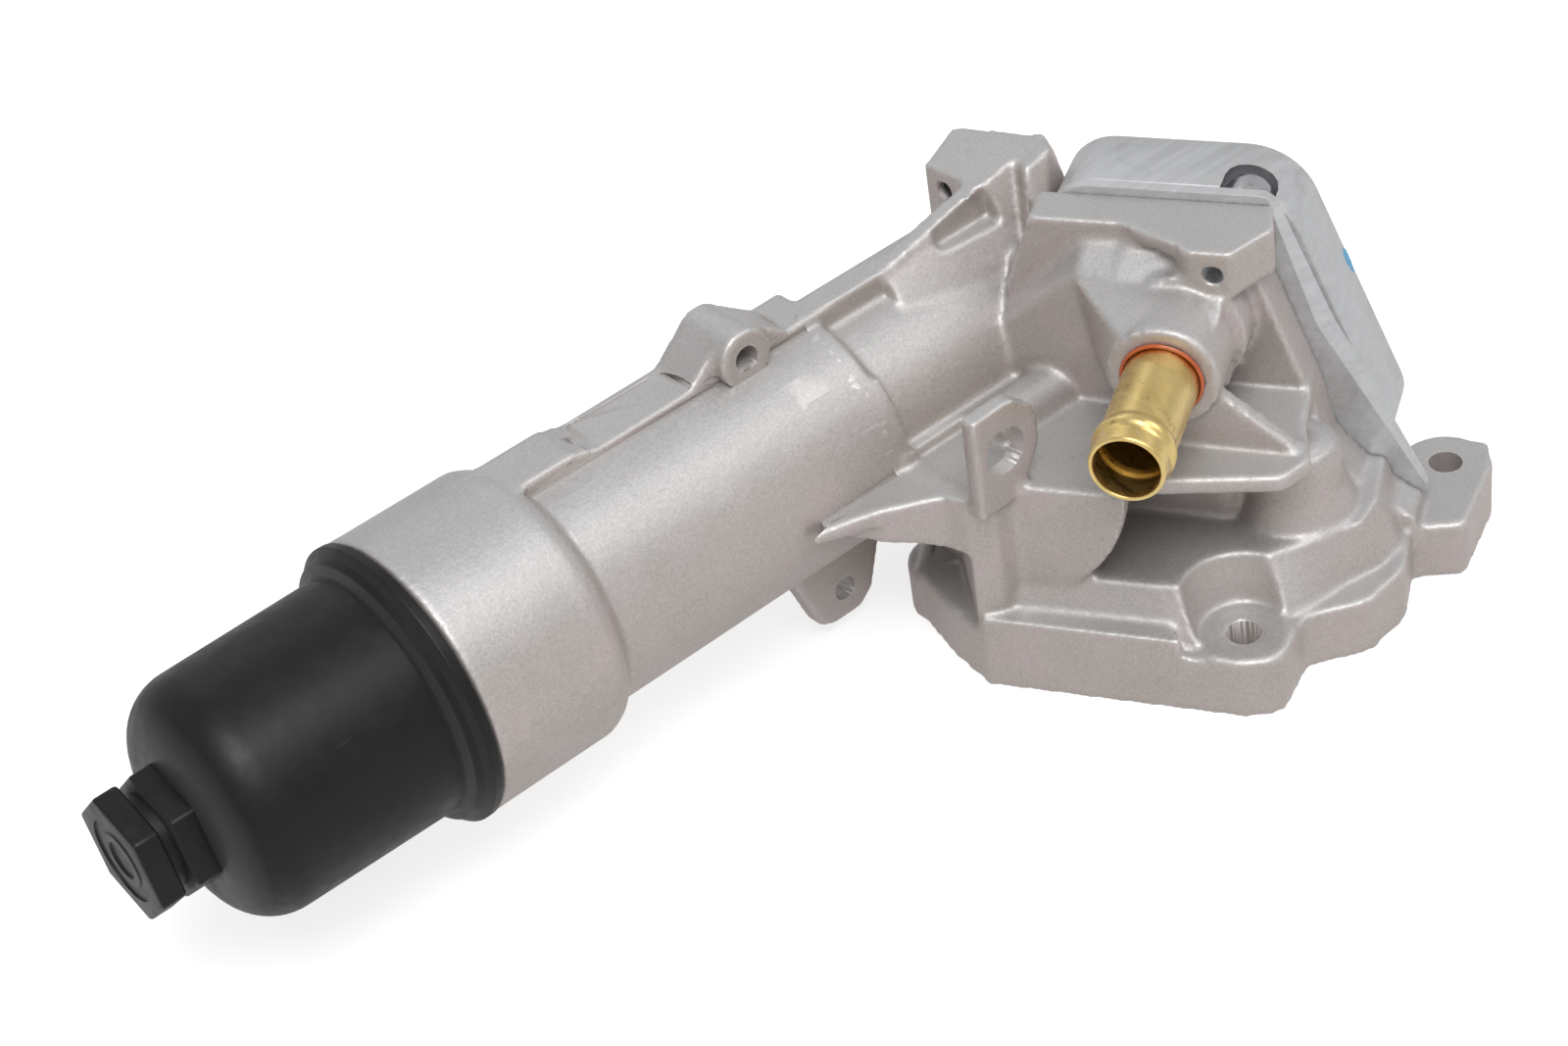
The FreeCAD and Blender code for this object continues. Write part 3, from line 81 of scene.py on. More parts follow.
# The barrel's bore and the passage behind it: how far they reach from the rim, and the passage's radius
BORE_END, OUTLET_END, OUTLET_RADIUS = 122.5, 159, 9.8
BRACKET_HOLE = (8.6, 93.8)
BLOCK_HOLE = (6.6, 35.8)
TAPPED_RADIUS, TAPPED_DEPTH, TAPPED_PITCH = 2.6, 9, 0.8
# Flange bolts: u, v, height to which the hole is closed, height to which it is cut again
FLANGE_BOLTS = [
    (20.5, -32.7, FLANGE_THICK - 0.2, 30),
    (56.2, 41, FLANGE_THICK - 0.2, 18),
    (-58, -13.3, FLANGE_THICK - 2, FLANGE_THICK + 0.2),
]
BOLT_PLUG, BOLT_CUT = 6.0, 4.8
# Holes across the barrel: distance and height, then front, back and radius of the plug and of the cut
CROSS_HOLES = [
    ((102, 91.2), (-7.8, 9.8, 4.5), (-9, 11, 3.9)),
    ((116.6, 14), (-11.8, -6.2, 4.5), (-13, -5, 3.9)),
    ((134.8, 68.5), (-57.8, -53.8, 7.2), (-59, -46.4, 6.8)),
]

# Softening of the casting: cell of the new mesh, smoothing passes, share of faces kept, the angle under
# which two faces count as flat, and the rates of a pass, to the neighbours and back
SKIN_CELL, SKIN_PASSES, SKIN_SHARE, SKIN_FLAT = 0.95, 14, 0.5, math.radians(5)
PULL, PUSH = 0.5, -0.53
# Distance in metres under which corners of the exact form are one
WELD = 2e-6


def flange_point(u, v, z=0.0):
    """A point of the flange's own frame, in metres in the row frame."""
    c, s = math.cos(math.radians(60)), math.sin(math.radians(60))
    return Vector((c * u + s * v, -s * u + c * v, z)) * MM


def flange_way(u, v, z=0.0):
    return flange_point(u, v, z).normalized()


def rim_point(x, y=0.0, z=0.0):
    """A point measured from the centre of the barrel's rim, in metres."""
    return Vector((RIM_X + x, AXIS_Y + y, AXIS_Z + z)) * MM


# Materials
def linear(r, g, b):
    def one(c):
        c /= 255.0
        return c / 12.92 if c <= 0.04045 else ((c + 0.055) / 1.055) ** 2.4
    return (one(r), one(g), one(b), 1.0)


def lifted(tone, amount):
    """A tone with the same amount added to red, green and blue."""
    return linear(*(value + amount for value in tone))


class Finish:
    """A procedural material: colours mixed by noise, with roughness and bump of their own."""

    def __init__(self, name, metallic, **plain):
        self.material = bpy.data.materials.new(name)
        self.material.use_nodes = True
        self.tree = self.material.node_tree
        self.tree.nodes.clear()
        self.out = self.add("ShaderNodeOutputMaterial")
        self.shader = self.add("ShaderNodeBsdfPrincipled")
        self.link(self.shader.outputs[0], self.out.inputs[0])
        self.shader.inputs["Metallic"].default_value = metallic
        for key, value in plain.items():
            self.shader.inputs[key.replace("_", " ")].default_value = value
        self.place = self.add("ShaderNodeTexCoord").outputs["Object"]
        self.bump = None

    def add(self, kind):
        return self.tree.nodes.new(kind)

    def link(self, source, target):
        self.tree.links.new(source, target)

    def stretched(self, scale, turn=(0, 0, 0)):
        node = self.add("ShaderNodeMapping")
        node.inputs["Scale"].default_value = scale
        node.inputs["Rotation"].default_value = turn
        self.link(self.place, node.inputs["Vector"])
        return node.outputs[0]

    def noise(self, scale, detail=3.0, rough=0.55, distortion=0.0, where=None):
        node = self.add("ShaderNodeTexNoise")
        node.inputs["Scale"].default_value = scale
        node.inputs["Detail"].default_value = detail
        node.inputs["Roughness"].default_value = rough
        node.inputs["Distortion"].default_value = distortion
        self.link(where or self.place, node.inputs["Vector"])
        return node.outputs["Fac"]

    def cells(self, scale):
        node = self.add("ShaderNodeTexVoronoi")
        node.inputs["Scale"].default_value = scale
        self.link(self.place, node.inputs["Vector"])
        return node.outputs["Distance"]

    def ramp(self, value, low, high, start=0.0, end=1.0):
        node = self.add("ShaderNodeMapRange")
        node.inputs["From Min"].default_value = low
        node.inputs["From Max"].default_value = high
        node.inputs["To Min"].default_value = start
        node.inputs["To Max"].default_value = end
        self.link(value, node.inputs["Value"])
        return node.outputs[0]

    def mix(self, share, first, second):
        node = self.add("ShaderNodeMix")
        node.data_type = "RGBA"
        self.link(share, node.inputs[0])
        for socket, value in ((6, first), (7, second)):
            if isinstance(value, tuple):
                node.inputs[socket].default_value = value
            else:
                self.link(value, node.inputs[socket])
        return node.outputs[2]

    def product(self, first, second):
        node = self.add("ShaderNodeMath")
        node.operation = "MULTIPLY"
        self.link(first, node.inputs[0])
        self.link(second, node.inputs[1])
        return node.outputs[0]

    def colour(self, value):
        self.link(value, self.shader.inputs["Base Color"])

    def roughness(self, value):
        self.link(value, self.shader.inputs["Roughness"])

    def relief(self, value, strength, distance):
        node = self.add("ShaderNodeBump")
        node.inputs["Strength"].default_value = strength
        node.inputs["Distance"].default_value = distance
        self.link(value, node.inputs["Height"])
        if self.bump is not None:
            self.link(self.bump, node.inputs["Normal"])
        self.bump = node.outputs[0]
        self.link(self.bump, self.shader.inputs["Normal"])

    def facing(self, axis, low, high):
        """Rises from 0 to 1 as the surface's normal goes from low to high along an axis."""
        geometry = self.add("ShaderNodeNewGeometry")
        parts = self.add("ShaderNodeSeparateXYZ")
        self.link(geometry.outputs["Normal"], parts.inputs[0])
        return self.ramp(parts.outputs[axis], low, high)

    def edges(self, low, high, most):
        """A share of up to most on outer edges, or on inner ones where high is under low."""
        geometry = self.add("ShaderNodeNewGeometry")
        return self.ramp(geometry.outputs["Pointiness"], low, high, 0.0, most)


def cast_finish():
    m = Finish("cast_aluminium_blasted", 0.62)
    warm = m.mix(m.noise(38, 4, 0.6), linear(162, 153, 146), linear(182, 172, 166))
    blush = m.mix(m.ramp(m.noise(70, 3), 0.42, 0.62), warm, linear(178, 166, 164))
    cool = m.mix(m.noise(55, 4), linear(160, 160, 160), linear(176, 175, 175))
    # Painted light: faces that look up take the grey tone and all other faces the beige one, so the tone
    # follows how light falls
    body = m.mix(m.facing("Z", 0.25, 0.85), blush, cool)
    grain = m.ramp(m.noise(1500, 2, 0.7), 0.3, 0.7, 0.0, 0.34)
    body = m.mix(grain, body, linear(214, 210, 208))
    dark = m.ramp(m.cells(900), 0.02, 0.16, 0.3, 0.0)
    body = m.mix(dark, body, linear(112, 106, 102))
    # Outer edges paler: wear, and a painted highlight along the edges
    body = m.mix(m.edges(0.522, 0.57, 0.3), body, linear(226, 224, 222))
    # Painted shade: inner edges and creases darker, where shade falls
    body = m.mix(m.edges(0.488, 0.44, 0.35), body, linear(138, 130, 124))
    stain = m.ramp(m.noise(160, 5, 0.7), 0.62, 0.74, 0.0, 0.22)
    m.colour(m.mix(stain, body, linear(150, 141, 133)))
    m.roughness(m.ramp(m.noise(900, 3), 0.3, 0.7, 0.4, 0.58))
    m.relief(m.noise(420, 4, 0.65), 0.14, 0.0006)
    m.relief(m.noise(1900, 3, 0.75), 0.3, 0.00022)
    return m.material


def machined_finish():
    m = Finish("machined_aluminium", 0.85)
    rings = m.noise(220, 2, 0.5, where=m.stretched((1, 1, 14)))
    base = m.mix(rings, linear(104, 103, 104), linear(134, 133, 134))
    m.colour(m.mix(m.ramp(m.noise(120, 4), 0.5, 0.7, 0, 0.4), base, linear(84, 82, 80)))
    m.roughness(m.ramp(m.noise(600, 3), 0.3, 0.7, 0.36, 0.52))
    m.relief(m.noise(1500, 2, where=m.stretched((1, 1, 6))), 0.12, 0.0002)
    return m.material


def plastic_finish(name, tone, shine=(0.36, 0.5), end_painted_light=0):
    """Moulded plastic; end_painted_light paints faces paler that look along -X, such as the end of the
    hexagon: a painted highlight.
    """
    m = Finish(name, 0.0, IOR=1.48, Specular_IOR_Level=0.3)
    base = m.mix(m.noise(60, 4), lifted(tone, 0), lifted(tone, 9))
    if end_painted_light:
        # Painted highlight: faces that look along -X are made paler
        base = m.mix(m.facing("X", -0.6, -1.0), base, lifted(tone, end_painted_light))
    dust = m.ramp(m.noise(900, 4, 0.7), 0.62, 0.8, 0.0, 0.12)
    base = m.mix(dust, base, lifted(tone, 40))
    lines = m.noise(120, 2, 0.4, 1.5, m.stretched((0.3, 4, 4), (0.3, 0.2, 0.5)))
    m.colour(m.mix(m.ramp(lines, 0.7, 0.76, 0.0, 0.2), base, lifted(tone, 36)))
    m.roughness(m.ramp(m.noise(240, 4), 0.3, 0.7, *shine))
    m.relief(m.noise(1300, 3, 0.6), 0.1, 0.00025)
    return m.material


def brass_finish():
    m = Finish("yellow_brass_drawn", 1.0)
    way = (0, 0, math.radians(-60))
    base = m.mix(m.noise(30, 4, 0.6, 0.6), linear(238, 212, 144), linear(220, 188, 114))
    drawn = m.noise(520, 3, 0.6, where=m.stretched((1, 0.06, 1), way))
    base = m.mix(m.ramp(drawn, 0.35, 0.7, 0.0, 0.4), base, linear(248, 228, 168))
    stain = m.ramp(m.noise(260, 6, 0.75), 0.58, 0.72, 0.0, 0.75)
    near = m.ramp(m.noise(45, 2), 0.52, 0.64)
    m.colour(m.mix(m.product(stain, near), base, linear(104, 78, 40)))
    m.roughness(m.ramp(m.noise(420, 4, where=m.stretched((1, 0.1, 1), way)), 0.3, 0.7, 0.24, 0.4))
    m.relief(m.noise(700, 3, where=m.stretched((1, 0.08, 1), way)), 0.08, 0.0002)
    m.relief(m.noise(90, 3), 0.05, 0.001)
    return m.material


def sealant_finish():
    m = Finish("amber_sealant", 0.0, Coat_Weight=0.6, Coat_Roughness=0.15)
    m.colour(m.mix(m.noise(300, 4), linear(150, 62, 20), linear(196, 96, 38)))
    m.roughness(m.ramp(m.noise(500, 3), 0.3, 0.7, 0.25, 0.45))
    m.relief(m.noise(420, 3), 0.3, 0.0003)
    return m.material


def rolled_finish(name, lift):
    m = Finish(name, 0.7)
    lines = m.noise(480, 4, 0.65, where=m.stretched((0.05, 1, 1), (0, 0, math.radians(60))))
    base = m.mix(m.noise(22, 4, 0.6), lifted((158, 159, 161), lift), lifted((178, 179, 180), lift))
    base = m.mix(m.ramp(lines, 0.35, 0.7, 0.0, 0.45), base, lifted((200, 201, 203), lift))
    pits = m.ramp(m.cells(150), 0.0, 0.05, 0.55, 0.0)
    base = m.mix(pits, base, linear(92, 92, 94))
    smear = m.ramp(m.noise(90, 5, 0.7, 0.8), 0.56, 0.7, 0.0, 0.25)
    m.colour(m.mix(smear, base, linear(148, 149, 152)))
    m.roughness(m.ramp(lines, 0.3, 0.7, 0.34, 0.5))
    m.relief(lines, 0.1, 0.0002)
    m.relief(m.noise(36, 2), 0.06, 0.003)
    return m.material


def steel_finish(name, tone, rough):
    m = Finish(name, 1.0)
    base = m.mix(m.noise(200, 4), lifted(tone, 0), lifted(tone, 22))
    m.colour(m.mix(m.ramp(m.noise(700, 4), 0.58, 0.72, 0, 0.5), base, linear(96, 95, 94)))
    m.roughness(m.ramp(m.noise(500, 3), 0.3, 0.7, *rough))
    m.relief(m.noise(1400, 2), 0.08, 0.0002)
    return m.material


def rubber_finish():
    m = Finish("seal_rubber_black", 0.0, IOR=1.45)
    base = m.mix(m.noise(300, 4), linear(22, 22, 23), linear(42, 41, 40))
    m.colour(m.mix(m.ramp(m.noise(900, 3), 0.6, 0.75, 0, 0.3), base, linear(74, 72, 70)))
    m.roughness(m.ramp(m.noise(500, 3), 0.3, 0.7, 0.5, 0.72))
    m.relief(m.noise(1600, 3), 0.2, 0.0002)
    return m.material


def paper_finish():
    m = Finish("filter_paper_resin", 0.0)
    base = m.mix(m.noise(240, 5, 0.7), linear(226, 205, 150), linear(206, 178, 116))
    m.colour(m.mix(m.ramp(m.noise(1600, 4, 0.8), 0.55, 0.7, 0, 0.5), base, linear(240, 226, 184)))
    m.roughness(m.ramp(m.noise(800, 3), 0.3, 0.7, 0.75, 0.92))
    m.relief(m.noise(1800, 4, 0.8), 0.4, 0.0003)
    return m.material


def paint_finish():
    m = Finish("blue_marking_paint", 0.0)
    base = m.mix(m.noise(900, 4, 0.7), linear(44, 124, 168), linear(84, 158, 194))
    m.colour(m.mix(m.ramp(m.noise(1500, 4), 0.55, 0.66, 0, 0.8), base, linear(150, 180, 192)))
    m.roughness(m.ramp(m.noise(600, 3), 0.3, 0.7, 0.4, 0.6))
    m.relief(m.noise(1500, 3), 0.2, 0.0001)
    return m.material


CAST = cast_finish()
MACHINED = machined_finish()
PLASTIC = plastic_finish("black_plastic_moulded", (13, 13, 14), end_painted_light=46)
BRASS = brass_finish()
SEALANT = sealant_finish()
ROLLED = rolled_finish("rolled_aluminium_brushed", 16)
STEEL = steel_finish("zinc_steel", (186, 187, 190), (0.16, 0.32))
THREAD = steel_finish("thread_cut_aluminium", (120, 120, 122), (0.22, 0.4))
PLATE_FINISH = rolled_finish("plate_aluminium", 22)
SPRING = steel_finish("spring_wire_steel", (150, 150, 154), (0.2, 0.38))
RUBBER = rubber_finish()
PAPER = paper_finish()
PAINT = paint_finish()
VALVE = plastic_finish("valve_polymer", (196, 190, 176), (0.4, 0.55))
ELEMENT = plastic_finish("element_polymer", (92, 60, 34), (0.42, 0.6))


# Mesh code
def new_piece(name, mesh, finishes, body, replaced=(), sharp=32):
    piece = bpy.data.objects.new(name, mesh)
    bpy.context.scene.collection.objects.link(piece)
    mesh.materials.clear()
    for finish in finishes:
        mesh.materials.append(finish)
    mesh.polygons.foreach_set("use_smooth", [True] * len(mesh.polygons))
    mesh.set_sharp_from_angle(angle=math.radians(sharp))
    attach(piece, body)
    if replaced:
        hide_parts(*replaced)
    return piece


def mesh_of(bm, name):
    mesh = bpy.data.meshes.new(name)
    bm.to_mesh(mesh)
    bm.free()
    return mesh


def faced(bm, name):
    """The mesh of a bmesh with its faces turned outward."""
    bmesh.ops.recalc_face_normals(bm, faces=bm.faces)
    return mesh_of(bm, name)


def bridge(bm, first, second):
    """Faces between two closed rings of points; a ring of one point makes a fan."""
    count = max(len(first), len(second))
    for k in range(count):
        n = (k + 1) % count
        near = (first[k % len(first)], first[n % len(first)])
        far = (second[n % len(second)], second[k % len(second)])
        corners = list(dict.fromkeys(near + far))
        if len(corners) > 2:
            bm.faces.new(corners)


def rounded(points, radii, steps=6):
    """A closed profile with its corners rounded: radii gives one value a corner, 0 for a plain corner."""
    result = []
    count = len(points)
    for i, (point, radius) in enumerate(zip(points, radii)):
        if not radius:
            result.append(tuple(point))
            continue
        p = Vector(point)
        a = Vector(points[i - 1]) - p
        b = Vector(points[(i + 1) % count]) - p
        angle = a.angle(b)
        reach = min(radius / math.tan(angle / 2), 0.49 * a.length, 0.49 * b.length)
        start, end = p + a.normalized() * reach, p + b.normalized() * reach
        for k in range(steps + 1):
            t = k / steps
            curve = start * (1 - t) ** 2 + p * 2 * t * (1 - t) + end * t ** 2
            result.append((curve.x, curve.y))
    return result


def turned_mesh(name, profile, origin, way, segments=96):
    """A closed ring of (along, radius) points turned round a line; points on the line close it."""
    way = Vector(way).normalized()
    side = way.orthogonal().normalized()
    other = way.cross(side)
    bm = bmesh.new()
    rings = []
    for along, radius in profile:
        centre = Vector(origin) + way * along * MM
        if radius < 1e-6:
            rings.append([bm.verts.new(centre)])
            continue
        ring = []
        for k in range(segments):
            angle = 2 * math.pi * k / segments
            outward = side * math.cos(angle) + other * math.sin(angle)
            ring.append(bm.verts.new(centre + outward * radius * MM))
        rings.append(ring)
    for first, second in zip(rings, rings[1:] + rings[:1]):
        bridge(bm, first, second)
    return faced(bm, name)


def prism_mesh(name, corners, start, end):
    """A prism between two copies of the same outline of 3-D points, moved by start and end."""
    bm = bmesh.new()
    low = [bm.verts.new(c + start) for c in corners]
    high = [bm.verts.new(c + end) for c in corners]
    bm.faces.new(low)
    bm.faces.new(high)
    bridge(bm, low, high)
    return faced(bm, name)


def hull_mesh(points):
    """The convex hull of a few 3-D points."""
    bm = bmesh.new()
    for point in points:
        bm.verts.new(point)
    done = bmesh.ops.convex_hull(bm, input=bm.verts)
    spare = [v for v in done["geom_interior"] if isinstance(v, bmesh.types.BMVert)]
    bmesh.ops.delete(bm, geom=spare, context="VERTS")
    return faced(bm, "hull")


def rim_hull(*points):
    """A hull of points along the barrel: distance from the rim, side of the axis, height."""
    return hull_mesh([rim_point(x, y, z - AXIS_Z) for x, y, z in points])


def flange_hull(*points):
    return hull_mesh([flange_point(u, v, z) for u, v, z in points])


def rim_prism(outline, low, high):
    """An outline of (distance from the rim, side of the axis) between two heights."""
    corners = [rim_point(x, y, -AXIS_Z) for x, y in outline]
    return prism_mesh("prism", corners, Vector((0, 0, low * MM)), Vector((0, 0, high * MM)))


def scratch(name, mesh):
    item = bpy.data.objects.new(name, mesh)
    bpy.context.scene.collection.objects.link(item)
    return item


def drop(item):
    mesh = item.data
    bpy.data.objects.remove(item)
    if mesh.users == 0:
        bpy.data.meshes.remove(mesh)


def released(item):
    """The mesh of a scratch object, which goes."""
    mesh = item.data.copy()
    drop(item)
    return mesh


def modified(item, kind, **settings):
    """Gives an object a modifier and applies it."""
    step = item.modifiers.new("step", kind)
    for key, value in settings.items():
        setattr(step, key, value)
    bpy.context.view_layer.update()
    graph = bpy.context.evaluated_depsgraph_get()
    mesh = bpy.data.meshes.new_from_object(item.evaluated_get(graph), depsgraph=graph)
    item.modifiers.clear()
    old = item.data
    item.data = mesh
    if old.users == 0:
        bpy.data.meshes.remove(old)


def combine(item, other, operation):
    modified(item, "BOOLEAN", operation=operation, solver="MANIFOLD", object=other)


def merge(item, mesh, operation):
    """Joins a mesh to an object or cuts it away; the mesh goes."""
    other = scratch("other", mesh)
    combine(item, other, operation)
    drop(other)


def welded(mesh, name):
    bm = bmesh.new()
    bm.from_mesh(mesh)
    bmesh.ops.remove_doubles(bm, verts=bm.verts, dist=WELD)
    return faced(bm, name)


def joined(name, meshes):
    bm = bmesh.new()
    for mesh in meshes:
        bm.from_mesh(mesh)
        bpy.data.meshes.remove(mesh)
    return mesh_of(bm, name)


def rod_mesh(start, end, radius, segments=64):
    length = (end - start).length / MM
    profile = [(0, 0), (0, radius), (length, radius), (length, 0)]
    return turned_mesh("rod", profile, start, end - start, segments)


def up_rod(u, v, low, high, radius):
    return rod_mesh(flange_point(u, v, low), flange_point(u, v, high), radius)


def cross_rod(u, z, front, back, radius):
    return rod_mesh(flange_point(u, front, z), flange_point(u, back, z), radius)


def barrel_cross_rod(x, z, front, back, radius):
    return rod_mesh(rim_point(x, front, z - AXIS_Z), rim_point(x, back, z - AXIS_Z), radius)


def relax(mesh, passes):
    """Evens out a mesh by passes that first pull each point to its neighbours, then push it back."""
    count = len(mesh.vertices)
    points = np.zeros(count * 3)
    mesh.vertices.foreach_get("co", points)
    points = points.reshape(-1, 3)
    edges = np.zeros(len(mesh.edges) * 2, int)
    mesh.edges.foreach_get("vertices", edges)
    a, b = edges.reshape(-1, 2).T
    degree = np.bincount(a, minlength=count) + np.bincount(b, minlength=count)
    for rate in (PULL, PUSH) * passes:
        total = np.empty_like(points)
        for axis in range(3):
            column = points[:, axis]
            total[:, axis] = np.bincount(a, column[b], count) + np.bincount(b, column[a], count)
        points += rate * (total / degree[:, None] - points)
    mesh.vertices.foreach_set("co", points.ravel())
    mesh.update()


def keep_largest_shell(mesh):
    bm = bmesh.new()
    bm.from_mesh(mesh)
    shells, seen = [], set()
    for vert in bm.verts:
        if vert.index in seen:
            continue
        shell, rest = [], [vert]
        seen.add(vert.index)
        while rest:
            now = rest.pop()
            shell.append(now)
            for edge in now.link_edges:
                other = edge.other_vert(now)
                if other.index not in seen:
                    seen.add(other.index)
                    rest.append(other)
        shells.append(shell)
    shells.sort(key=len)
    for shell in shells[:-1]:
        bmesh.ops.delete(bm, geom=shell, context="VERTS")
    bm.to_mesh(mesh)
    bm.free()


def even_flats(mesh):
    """Turns the diagonals of nearly flat stretches so that their triangles are as regular as can be."""
    bm = bmesh.new()
    bm.from_mesh(mesh)
    flat = [edge for edge in bm.edges if edge.is_manifold and edge.calc_face_angle() < SKIN_FLAT]
    bmesh.ops.beautify_fill(bm, faces=bm.faces, edges=flat, method="ANGLE")
    bm.to_mesh(mesh)
    bm.free()


# The casting's skin. The cast form gets soft corners and fillets; bores and seal seats stay as machined
def climb(x, lift=0.0):
    """Height of the rail's top on its climb to the end block."""
    return RAIL_HEIGHT + RAIL_SLOPE * (x - RAIL_START) + lift


def fin_mesh():
    """The wall that stands behind the big lug, outside the barrel and the neck."""
    fin = scratch("fin", rim_prism([(125.2, -33), (132, -33), (132, -14), (125.2, -14)], 58.8, 84))
    for start, end, radius in ((120, 128.8, BARREL_RADIUS), (128, 140, NECK_RADIUS)):
        merge(fin, rod_mesh(rim_point(start), rim_point(end), radius, 160), "DIFFERENCE")
    return released(fin)


def casting_taken():
    """Forms taken from the plain casting before its corners are softened."""
    behind_rail = [(127, 3.7), (146, 3.0), (153.5, -0.1), (179.8, -0.4), (179.8, 18), (127, 18)]
    lug_wall = [(125.2, -32), (125.2, -53.6), (147, -53.6), (147, -30.7), (129.4, -30.7), (129.4, -32)]
    return [
        fin_mesh(),
        rim_prism(behind_rail, 84.2, 106),
        # what stands above the slanted top of the end block
        rim_hull(*[(x, y, z) for x in (150, 207) for y in (-20, 22) for z in (climb(x, 0.05), 112)]),
        # what stands in front of the rail's wall
        rim_hull(
            (158, -19, 82), (158, -11.8, 82), (158, -5.0, 91.8), (158, -5.0, 106), (158, -19, 106),
            (206, -19, 82), (206, -17, 82), (206, -6.8, 102), (206, -6.8, 106), (206, -19, 106),
        ),
        # wall between the big lug and the neck
        rim_prism(lug_wall, 56.3, 84),
    ]


def casting_given():
    """Forms added to the plain casting before its corners are softened."""
    block = [(180, -4), (180, 13.6), (184, 13.2), (193, 16.9), (195, 14.4), (200.4, -1.2), (202, -6.2)]
    under_bracket = [(24, 96.5), (14, 96.5), (3.2, 90), (1.2, 70), (1.2, 60), (24, 60)]
    return [
        # end block behind the rail
        rim_hull(*[(x, y, z) for x, y in block for z in (68, climb(x))]),
        # wall from the block down beside the cooler
        flange_hull(
            (-44.5, 34, 99.5), (-40.3, 41.5, 101), (-42.6, 46.5, 101.8), (-53, 44, 98.5),
            (-38.4, 46.1, 91.5), (-38.4, 50, 83.5), (-43.5, 28, 84), (-38.4, 30, 84),
            (-38.4, 50, 70), (-56, 40, 70),
        ),
        # rail beside the block
        rim_hull(*[(x, y, z) for x in (152, 200) for y in (-4.9, -0.5) for z in (75, climb(x))]),
        # tip of the web, drawn out along the barrel
        rim_hull(
            (86, -30.8, 55.5), (86, -30.4, 53.5), (97.2, -33.2, 56), (97.2, -32.6, 51.6),
            (110, -39, 56), (110, -38.6, 51.6), (90, -27, 54), (110, -27, 54),
        ),
        # body under the bracket
        flange_hull(*[(u, v, z) for u in (-15, 7) for v, z in under_bracket]),
    ]


def hole_plugs():
    """Rods that close the holes and ports while the casting is softened."""
    rods = [rod_mesh(rim_point(0.3), rim_point(9), THREAD_BORE + 2)]
    rods += [up_rod(u, v, 0.2, plug_top, BOLT_PLUG) for u, v, plug_top, cut_top in FLANGE_BOLTS]
    rods += [barrel_cross_rod(*place, *plug) for place, plug, cut in CROSS_HOLES]
    rods.append(cross_rod(*BRACKET_HOLE, 3.2, 12, 3.4))
    rods.append(cross_rod(0, STUB_Z, STUB_ROOT + 0.2, -5, STUB_PLUG))
    rods += [up_rod(u, v, 0.2, 3, PORT_PLUG) for u, v in FLANGE_PORTS]
    rods += [cross_rod(u, z, PAD_FACE - 3, PAD_FACE - 0.2, PORT_PLUG) for u, z in PAD_PORTS]
    rods += [cross_rod(u, z, PAD_FACE - 5, PAD_FACE - 0.2, SCREW_PLUG) for u, z in SCREWS]
    return rods


def machined_zones():
    """Groups of rods inside which the surface is that of the exact form again."""
    bores = [rod_mesh(rim_point(-1), rim_point(BORE_END), THREAD_BORE + 2.2, 96)]
    bores += [up_rod(u, v, -1, cut_top, BOLT_CUT) for u, v, plug_top, cut_top in FLANGE_BOLTS]
    bores += [barrel_cross_rod(*place, *cut) for place, plug, cut in CROSS_HOLES]
    bores.append(cross_rod(*BRACKET_HOLE, 2, 13.8, 3.0))
    bores.append(cross_rod(0, STUB_Z, STUB_ROOT - 1, PAD_FACE - 5, STUB_CUT))
    bores += [cross_rod(u, z, PAD_FACE - 11, PAD_FACE + 1, SCREW_CUT) for u, z in SCREWS]
    seats = [up_rod(u, v, -1, SEAT_DEPTH, PORT_SEAT) for u, v in FLANGE_PORTS]
    seats += [cross_rod(u, z, PAD_FACE - SEAT_DEPTH, PAD_FACE + 1, PORT_SEAT) for u, z in PAD_PORTS]
    low_passages = [rod_mesh(rim_point(BORE_END - 1.5), rim_point(OUTLET_END), OUTLET_RADIUS)]
    low_passages += [up_rod(u, v, 2.3, top, radius) for u, v, top, radius in FLANGE_PASSAGES]
    pad_passages = [cross_rod(u, z, front, PAD_FACE - 2, radius) for u, z, front, radius in PAD_PASSAGES]
    return [bores, seats, low_passages, pad_passages]


def soft_skin(exact):
    """The casting with its holes closed and its corners softened."""
    base = scratch("base", exact.data.copy())
    for mesh in casting_taken():
        merge(base, mesh, "DIFFERENCE")
    skin = scratch("skin", joined("skin", [released(base)] + casting_given() + hole_plugs()))
    modified(skin, "REMESH", mode="VOXEL", voxel_size=SKIN_CELL * MM, adaptivity=0.0)
    keep_largest_shell(skin.data)
    relax(skin.data, SKIN_PASSES)
    modified(skin, "DECIMATE", ratio=SKIN_SHARE)
    even_flats(skin.data)
    skin.data.materials.clear()
    skin.data.materials.append(CAST)
    return skin


def cast_skin():
    exact = scratch("exact", welded(NODES["filter_housing"].data, "exact"))
    skin = soft_skin(exact)
    for group in machined_zones():
        zone = scratch("zone", joined("zone", group))
        zone.data.materials.append(MACHINED)
        combine(zone, exact, "DIFFERENCE")
        combine(skin, zone, "DIFFERENCE")
        drop(zone)
    hole = rod_mesh(rim_point(178, *BLOCK_HOLE), rim_point(190, *BLOCK_HOLE), TAPPED_RADIUS, 48)
    hole.materials.append(MACHINED)
    merge(skin, hole, "DIFFERENCE")
    drop(exact)
    return released(skin)


new_piece("casting_skin", cast_skin(), [CAST, MACHINED], "housing", ["filter_housing"], 38)


